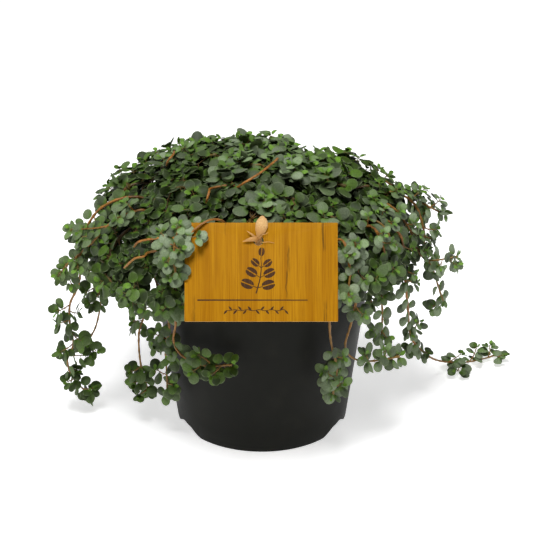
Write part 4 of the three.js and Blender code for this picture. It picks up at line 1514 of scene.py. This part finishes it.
# Side twigs that fill out the hanging clusters: for each trail, counted from 1, the marks along
# its route that the twigs grow from, and their tips in millimetres.
SPRIGS = {
    1: (
        (5.0, (-130, -16, 80)), (5.6, (-130, -15, 71)), (6.2, (-116, -16, 58)),
        (6.9, (-130, -12, 49)), (7.6, (-113, -10, 45)), (9.0, (-128, -7, 24)),
        (9.6, (-112, -9, 20)),
    ),
    2: (
        (2.2, (-117, -30, 143)), (2.5, (-111, -35, 140)), (3.3, (-113, -38, 120)),
        (3.6, (-126, -33, 113)), (3.9, (-118, -31, 106)),
    ),
    3: (
        (4.1, (-112, -13, 92)), (4.5, (-110, -12, 84)), (4.2, (-98, -14, 93)),
        (6.9, (-108, -9, 48)),
    ),
    4: ((6.1, (-84, -23, 40)), (6.4, (-82, -22, 31)), (4.4, (-80, -29, 80))),
    5: ((4.6, (-66, -47, 80)), (5.1, (-66, -45, 70)), (6.3, (-66, -42, 52)), (6.6, (-56, -46, 44))),
    6: ((4.6, (-56, -58, 68)), (5.8, (-42, -70, 66)), (6.6, (-30, -76, 67)), (6.2, (-38, -71, 78))),
    7: ((3.4, (-57, -86, 154)), (2.8, (-58, -82, 164)), (2.5, (-37, -88, 164))),
    8: ((6.9, (110, -2, 76)),),
    9: ((4.5, (112, -14, 111)),),
    10: ((5.4, (70, -43, 80)), (5.8, (78, -41, 74))),
    11: (
        (6.3, (101, -7, 68)), (7.2, (98, 8, 40)), (10.1, (138, 52, 13)), (10.6, (135, 40, 6)),
        (11.2, (150, 60, 14)), (12.3, (160, 67, 12)),
    ),
    12: ((4.5, (49, -71, 76)), (5.3, (39, -71, 66)), (5.7, (49, -70, 58))),
    13: ((6.5, (76, -52, 70)), (5.9, (64, -57, 70))),
    15: ((3.0, (102, 6, 137)), (2.4, (100, 8, 139))),
}
TRAIL_LIFT = 0.00055

# How much of a stem is bare from its root, and how thin it ends, as a share of its start.
TRAIL_BARE_ROOT = 0.018
TRAIL_TAPER = 0.62

# The size of a shoot's leaves as a share, between two values.
TRAIL_VIGOUR = (0.76, 0.88)


def on_soil(scene, x, y, lift):
    """A stem's first point, just above the soil."""
    return np.array([x, y, soil_height(scene, math.hypot(x, y)) + scene.plant_soil.gap + lift])


def trail_points(scene, index):
    (x, y), points, _ = TRAILS[index]
    root = on_soil(scene, x * MM, y * MM, TRAIL_LIFT)
    return np.vstack([[root], in_metres(points)])


class PLANT_OT_grow_trailing_shoots(Operator):
    """Grows the shoots that trail over the pot's rim, with their leaf pairs and side twigs."""

    bl_idname = "plant.grow_trailing_shoots"
    bl_label = "Trailing shoots"

    def execute(self, context):
        scene = context.scene
        settings, room, materials = scene.plant_foliage, Room(scene), foliage_materials(scene)
        for index in range(len(TRAILS)):
            number = index + 1
            route = Route(spline(trail_points(scene, index)))
            bare = [tuple(route.distance_to(np.array(marks))) for marks in TRAILS[index][2]]
            rng = random.Random(settings.seed * 1000 + index)
            shoot = Shoot(settings, rng)
            places = pair_places(route, rng, settings.pair_spacing, TRAIL_BARE_ROOT)
            radii = (settings.stem_radius, settings.stem_radius * TRAIL_TAPER)
            shoot.stem(route, radii, [place[0] for place in places], youth=(0.0, 0.5))
            over_tag = number == OVER_TAG
            vigour = rng.uniform(*TRAIL_VIGOUR)
            set_leaves(shoot, room, route, places, vigour, over_tag, bare=bare)
            side_twigs(shoot, room, route, places, vigour, over_tag, bare)
            for mark, tip in SPRIGS.get(number, ()):
                start = float(route.distance_to(mark))
                add_sprig(shoot, room, route, start, in_metres(tip), vigour, over_tag)
            name = f"trailing_{number:02d}"
            finished(name, shoot.mesh(name), materials, f"trailing_shoot_{number:02d}")
        return {"FINISHED"}


# ---------------------------------------------------------------- crown shoots


# The crown's shape, a rounded dome over a skirt, and how its shoots stand in it, in metres and
# radians.
CROWN = {
    "centre_height": 0.118, "rise": 0.069, "slope": 0.010, "roundness": 1.65,
    "lowest_polar": math.radians(94), "skirt_tilt": math.radians(6), "stem_share": 0.95,
    "side_bias": 1.3, "shoots": 30, "soil_spread": 0.057, "arch_height": 0.168,
    "arch_gain": 0.30, "lip_clear": 0.004, "clearance": 0.0032, "turn_step": math.radians(4),
    "right_inset": 0.007, "inset_below": 0.150, "clump_depth": 0.0044, "clump_size": 0.0066,
    "bare_root": 0.050, "taper": 0.66, "turns_tried": 90,
}

# How deep under the crown's surface its twigs end, outside and inside, and how far a tip strays
# from its even place, in radians.
OUTER_DEPTH = (-0.0026, 0.0016)
INNER_DEPTH = (0.007, 0.020)
TIP_SCATTER = 0.03

# The stretch of a crown stem that carries twigs, the marks tried along it, the lead in metres
# that its first mark has over one past its last, and the gap that a twig has to bridge.
TWIG_STRETCH = (0.40, 0.97)
TWIG_MARKS = 20
EARLY_PULL = 0.0025
SHORTEST_TWIG = 0.004

# The sizes of the leaves as shares: on a crown stem itself, between two values, and on a twig.
CROWN_VIGOUR = (0.95, 1.1)
TWIG_VIGOURS = (0.78, 0.90, 0.96, 1.02, 1.06, 1.12)

# A twig's taper, and the light left to the leaves of one that ends inside the crown.
TWIG_TAPER = 0.6
INNER_LIGHT = 0.45

# How far a crown twig's tip strays from the crown's outward direction, how much it turns up, and
# how much of the twig is bare from its foot.
TIP_STRAY = 0.20
TIP_UPTURN = 0.20
TWIG_BARE_FOOT = 0.006


def crown_reach(azimuth):
    """How far the crown spreads to this side, in metres: a lobed oval, wider along X."""
    sides = 102 - 4 * math.cos(azimuth) + 7 * math.sin(azimuth) + 12 * math.cos(2 * azimuth)
    return (sides + 3 * math.sin(5 * azimuth + 1)) * MM


def crown_rise(polar, azimuth):
    """How far the crown rises above its centre: less on the right, where it slopes away."""
    return CROWN["rise"] - CROWN["slope"] * math.sin(polar) * math.cos(azimuth)


def crown_point(polar, azimuth):
    power = CROWN["roundness"]
    flat = (math.sin(polar) / crown_reach(azimuth)) ** power
    tall = (abs(math.cos(polar)) / crown_rise(polar, azimuth)) ** power
    distance = (flat + tall) ** (-1 / power)
    return np.array([
        distance * math.sin(polar) * math.cos(azimuth),
        distance * math.sin(polar) * math.sin(azimuth),
        CROWN["centre_height"] + distance * math.cos(polar),
    ])


def crown_normal(point):
    """The outward direction of the crown's surface nearest this point."""
    radius = max(math.hypot(point[0], point[1]), 1e-6)
    azimuth = math.atan2(point[1], point[0])
    power = CROWN["roundness"] - 1
    height = max(point[2] - CROWN["centre_height"], 0.0)
    level = (radius / crown_reach(azimuth)) ** power / crown_reach(azimuth)
    upright = (height / CROWN["rise"]) ** power / CROWN["rise"]
    return unit(np.array([point[0] / radius * level, point[1] / radius * level, upright]))


def crown_depth(point):
    """How far this point lies inside the crown's surface, less than 0 outside it."""
    offset = point - np.array([0.0, 0.0, CROWN["centre_height"]])
    reach = max(float(np.linalg.norm(offset)), 1e-6)
    surface = crown_point(math.acos(offset[2] / reach), math.atan2(offset[1], offset[0]))
    surface[2] -= CROWN["centre_height"]
    return float(np.linalg.norm(surface)) - reach


def lowest_polar(azimuth):
    """Where the crown's skirt ends: lower on the left than on the right."""
    return CROWN["lowest_polar"] - CROWN["skirt_tilt"] * math.cos(azimuth)


def crown_direction(i, count):
    """The i-th of count directions spread over the crown, from its top to its skirt."""
    share = ((i + 0.5) / count) ** CROWN["side_bias"]
    azimuth = i * GOLDEN_ANGLE
    lowest = math.cos(lowest_polar(azimuth))
    return math.acos(1 - (1 - lowest) * share), azimuth


def clear_of_lip(pot, point):
    """The point, moved outwards where a stem that hangs down there would meet the pot's lip."""
    reach = math.hypot(point[0], point[1])
    share = max(1.0, (pot.lip_radius + CROWN["lip_clear"]) / reach)
    return np.array([point[0] * share, point[1] * share, point[2]])


def crown_arch(scene, polar, azimuth):
    """Control points of a crown shoot's arch, from the soil to just under the crown's surface."""
    centre = np.array([0.0, 0.0, CROWN["centre_height"]])
    end = centre + (crown_point(polar, azimuth) - centre) * CROWN["stem_share"]
    pot = scene.plant_pot
    low = end[2] < pot.height + CROWN["lip_clear"]
    if low:
        end = clear_of_lip(pot, end)
    reach = math.hypot(end[0], end[1])
    spread = CROWN["soil_spread"] * min(1, reach / crown_reach(azimuth))
    root = on_soil(scene, spread * math.cos(azimuth), spread * math.sin(azimuth), 0.0)
    arch = (root + end) / 2
    if low:
        arch = clear_of_lip(pot, arch)
    arch[2] = max(end[2] + CROWN["arch_gain"] * (reach - spread), CROWN["arch_height"])
    lean = math.dist(arch[:2], root[:2]) / math.dist(arch, root)
    root[2] += scene.plant_foliage.stem_radius * lean
    return [root, arch, end]


def crown_arches(scene):
    """The arch of each crown shoot, turned aside where it would touch an earlier stem."""
    taken = []
    for index in range(len(TRAILS)):
        line = spline(trail_points(scene, index), 48)
        marks = np.linspace(0, len(line) - 1, 49)
        numbers = np.arange(len(line))
        taken.append(np.stack([np.interp(marks, numbers, line[:, k]) for k in range(3)], 1))
    arches = []
    for i in range(CROWN["shoots"]):
        polar, azimuth = crown_direction(i, CROWN["shoots"])
        for turn in range(CROWN["turns_tried"]):
            side = 1 if turn % 2 else -1
            angle = side * math.ceil(turn / 2) * CROWN["turn_step"]
            points = bezier(crown_arch(scene, polar, azimuth + angle), 24)
            others = np.vstack(taken)
            gaps = np.linalg.norm(points[:, None] - others[None], axis=2)
            if gaps.min() >= CROWN["clearance"]:
                break
        taken.append(points)
        arches.append(crown_arch(scene, polar, azimuth + angle))
    return arches


def clumping(place):
    """Between -1 and 1: high where the leaves stand in a clump, low in the hollows between."""
    x, y, z = place / CROWN["clump_size"]
    sideways = math.sin(x + 1.2 * math.sin(0.6 * y))
    return sideways * math.sin(1.1 * z - 0.8 * y + 0.9 * math.sin(0.7 * x))


def crown_tips(settings, rng):
    """Place, outward direction and depth of every twig tip in the crown."""
    tips = []
    total = settings.crown_tips + settings.inner_tips
    for i in range(total):
        inner = (i * settings.inner_tips) % total < settings.inner_tips
        polar, azimuth = crown_direction(i, total)
        polar = min(lowest_polar(azimuth), max(0.02, polar + rng.gauss(0, TIP_SCATTER)))
        place = crown_point(polar, azimuth + rng.gauss(0, TIP_SCATTER))
        normal = crown_normal(place)
        if inner:
            depth = rng.uniform(*INNER_DEPTH)
        else:
            depth = rng.uniform(*OUTER_DEPTH) + CROWN["clump_depth"] * (1 - clumping(place))
        if place[2] < CROWN["inset_below"]:
            depth += CROWN["right_inset"] * max(0.0, math.cos(azimuth)) ** 6
        swell = sum(
            rise * math.exp(-((math.dist(place[:2], spot) / spread) ** 2))
            for spot, spread, rise in CROWN_SWELLS
        )
        place = place - normal * depth + UP * swell
        tips.append((place, normal, inner))
    return tips


def nearest_stem(tip, routes):
    """The crown shoot, and the distance along it, from which a twig best reaches this tip."""
    best = None
    for index, route in enumerate(routes):
        marks = np.linspace(*TWIG_STRETCH, TWIG_MARKS) * route.length
        gaps = np.linalg.norm(route.at(marks) - tip, axis=1)
        gaps = gaps + EARLY_PULL * np.arange(TWIG_MARKS) / TWIG_MARKS
        k = int(gaps.argmin())
        if best is None or gaps[k] < best[0]:
            best = (float(gaps[k]), index, float(marks[k]))
    return best


class PLANT_OT_grow_crown_shoots(Operator):
    """Grows the shoots that fill the crown, each with twigs that end in leafy rosettes."""

    bl_idname = "plant.grow_crown_shoots"
    bl_label = "Crown shoots"

    def execute(self, context):
        scene = context.scene
        settings, room, materials = scene.plant_foliage, Room(scene), foliage_materials(scene)
        routes = [Route(bezier(arch, 40)) for arch in crown_arches(scene)]
        twigs = [[] for _ in routes]
        for place, normal, inner in crown_tips(settings, random.Random(settings.seed)):
            gap, index, mark = nearest_stem(place, routes)
            if gap > SHORTEST_TWIG:
                twigs[index].append((place, normal, inner, mark, gap))
        carriers = [nearest_stem(in_metres(line[0]), routes)[1:] for line in RUNNERS]
        for index, route in enumerate(routes):
            rng = random.Random(settings.seed * 2000 + index)
            shoot = Shoot(settings, rng)
            places = pair_places(route, rng, settings.pair_spacing, CROWN["bare_root"])
            knots = [place[0] for place in places] + [twig[3] for twig in twigs[index]]
            radii = (settings.stem_radius, settings.stem_radius * CROWN["taper"])
            shoot.stem(route, radii, knots, youth=(0.25, 0.75))
            set_leaves(shoot, room, route, places, rng.uniform(*CROWN_VIGOUR))
            for twig in twigs[index]:
                self.grow_twig(shoot, room, route, *twig)
            for line, (owner, mark) in zip(RUNNERS, carriers):
                if owner == index:
                    runner = Route(spline(np.vstack([[route.at(mark)], in_metres(line)]), 10))
                    shoot.stem(runner, RUNNER_RADII)
            name = f"crown_{index + 1:02d}"
            finished(name, shoot.mesh(name), materials, f"crown_shoot_{index + 1:02d}")
        return {"FINISHED"}

    @staticmethod
    def grow_twig(shoot, room, parent, place, normal, inner, mark, gap):
        """Adds one twig from its parent stem out to its tip, and the leaves on it."""
        rng, settings = shoot.rng, shoot.settings
        start, heading = parent.at(mark), parent.heading(mark)
        tilt = unit(normal + in_random(rng, TIP_STRAY) + TIP_UPTURN * UP)
        leave = start + heading * gap * 0.35
        arrive = place - tilt * gap * 0.42
        route = Route(bezier([start, leave, arrive, place], 16))
        spots = route.at(np.linspace(0.3, 1.0, 5) * route.length)
        if any(room.filled(spot) for spot in spots):
            return
        radii = (settings.twig_radius, settings.twig_radius * TWIG_TAPER)
        shoot.stem(route, radii, youth=(0.45, 1.0), sides=5)
        vigour = rng.choice(TWIG_VIGOURS)
        places = pair_places(route, rng, settings.pair_spacing, TWIG_BARE_FOOT)
        set_leaves(shoot, room, route, places, vigour, shade=INNER_LIGHT if inner else 1.0)


def foliage_materials(scene):
    """The finishes of the stems and of both faces of the blades, made once."""
    names = ("stem_bark", "leaf_upper", "leaf_lower")
    if all(name in bpy.data.materials for name in names):
        return [bpy.data.materials[name] for name in names]
    settings = scene.plant_foliage
    return [
        stem_bark(settings), leaf_face(settings, "leaf_upper", lower=False),
        leaf_face(settings, "leaf_lower", lower=True),
    ]


# ---------------------------------------------------------------- stage


# The square lights: name, place, side length and power in watts, and the point they all aim at.
PANELS = (
    ("key_panel", (-0.12, -0.62, 1.72), 0.70, 35.4),
    ("left_panel", (-1.20, 0.55, 0.65), 0.8, 4.0),
    ("right_panel", (1.20, 0.55, 0.65), 0.8, 3.6),
)
AIM = (0, 0, 0.11)

# The sky's strength by the height of its direction: bright round the horizon, dim above.
HORIZON = {"From Min": 0.12, "From Max": 0.28, "To Min": 0.60, "To Max": 0.01}

# The floor: half its width, how much its patches are paler, and the strength of its own light.
FLOOR_HALF = 6.0
FLOOR_PALER = 1.01
FLOOR_GLOW = 0.60

# Width of the camera's sensor, in millimetres.
SENSOR_WIDTH = 36


class PLANT_OT_set_stage(Operator):
    """Sets the pale floor, the soft studio light and the camera."""

    bl_idname = "plant.set_stage"
    bl_label = "Stage"

    def execute(self, context):
        scene, studio = context.scene, context.scene.plant_studio
        scene.view_settings.view_transform = "Standard"
        self.lay_floor(studio)
        self.fill_with_light(scene)
        for panel in PANELS:
            self.hang_panel(*panel)
        camera = bpy.data.objects.new("camera", bpy.data.cameras.new("camera"))
        camera.data.lens = studio.lens
        camera.data.sensor_width = SENSOR_WIDTH
        camera.location = studio.camera_place
        camera.rotation_euler = (math.pi / 2 - studio.camera_drop, 0, 0)
        scene.collection.objects.link(camera)
        scene.camera = camera
        return {"FINISHED"}

    @staticmethod
    def lay_floor(studio):
        """A wide pale floor that glows a little, so that it stays near white in shade."""
        half = FLOOR_HALF
        mesh = bpy.data.meshes.new("floor")
        corners = [(-half, -half, 0), (half, -half, 0), (half, half, 0), (-half, half, 0)]
        mesh.from_pydata(corners, [], [(0, 1, 2, 3)])
        floor = bpy.data.objects.new("floor", mesh)
        bpy.context.scene.collection.objects.link(floor)
        finish = Finish("pale_floor", 0.9, specular=0.1)
        tone = finish.grain(finish.place(), 3.0)
        white = tuple(studio.floor)
        paler = tuple(min(1.0, share * FLOOR_PALER) for share in white)
        finish.shader.inputs["Emission Color"].default_value = (1, 1, 1, 1)
        finish.shader.inputs["Emission Strength"].default_value = FLOOR_GLOW
        mesh.materials.append(finish.done(finish.mixed(tone, white, paler)))

    @staticmethod
    def fill_with_light(scene):
        """A pale band of light round the horizon, under a dim sky."""
        world = bpy.data.worlds.new("studio")
        world.use_nodes = True
        scene.world = world
        nodes, links = world.node_tree.nodes, world.node_tree.links
        way = nodes.new("ShaderNodeTexCoord")
        split = nodes.new("ShaderNodeSeparateXYZ")
        share = nodes.new("ShaderNodeMapRange")
        share.interpolation_type = "SMOOTHSTEP"
        for name, value in HORIZON.items():
            share.inputs[name].default_value = value
        nodes["Background"].inputs["Color"].default_value = (1, 1, 1, 1)
        links.new(way.outputs["Generated"], split.inputs["Vector"])
        links.new(split.outputs["Z"], share.inputs["Value"])
        links.new(share.outputs["Result"], nodes["Background"].inputs["Strength"])

    @staticmethod
    def hang_panel(name, place, size, power):
        """A large square light that points at the middle of the plant."""
        light = bpy.data.lights.new(name, "AREA")
        light.shape = "SQUARE"
        light.size = size
        light.energy = power
        panel = bpy.data.objects.new(name, light)
        panel.location = place
        aim = Vector(AIM) - Vector(place)
        panel.rotation_euler = aim.to_track_quat("-Z", "Y").to_euler()
        bpy.context.scene.collection.objects.link(panel)


# ---------------------------------------------------------------- panel and registration


OPERATORS = (
    PLANT_OT_set_stage,
    PLANT_OT_make_pot,
    PLANT_OT_make_soil,
    PLANT_OT_make_tag,
    PLANT_OT_burn_sprig,
    PLANT_OT_make_raffia_tie,
    PLANT_OT_grow_trailing_shoots,
    PLANT_OT_grow_crown_shoots,
)


class PLANT_PT_sidebar(Panel):
    """Lists the plant's settings and the operators that make its pieces."""

    bl_idname = "PLANT_PT_sidebar"
    bl_label = "Potted Pilea"
    bl_space_type = "VIEW_3D"
    bl_region_type = "UI"
    bl_category = "Plant"

    def draw(self, context):
        layout = self.layout
        for kind in OPERATORS:
            layout.operator(kind.bl_idname)
        for name, group in SETTINGS.items():
            box = layout.box()
            box.label(text=name.replace("plant_", "").capitalize())
            for key in group.__annotations__:
                box.prop(getattr(context.scene, name), key)


def register():
    for kind in (*SETTINGS.values(), *OPERATORS, PLANT_PT_sidebar):
        bpy.utils.register_class(kind)
    for name, group in SETTINGS.items():
        setattr(bpy.types.Scene, name, PointerProperty(type=group))


def unregister():
    for name in SETTINGS:
        delattr(bpy.types.Scene, name)
    for kind in (PLANT_PT_sidebar, *reversed(OPERATORS), *SETTINGS.values()):
        bpy.utils.unregister_class(kind)


def main():
    """Makes every piece."""
    register()
    for kind in OPERATORS:
        group, name = kind.bl_idname.split(".")
        getattr(getattr(bpy.ops, group), name)()


if __name__ == "__main__":
    main()
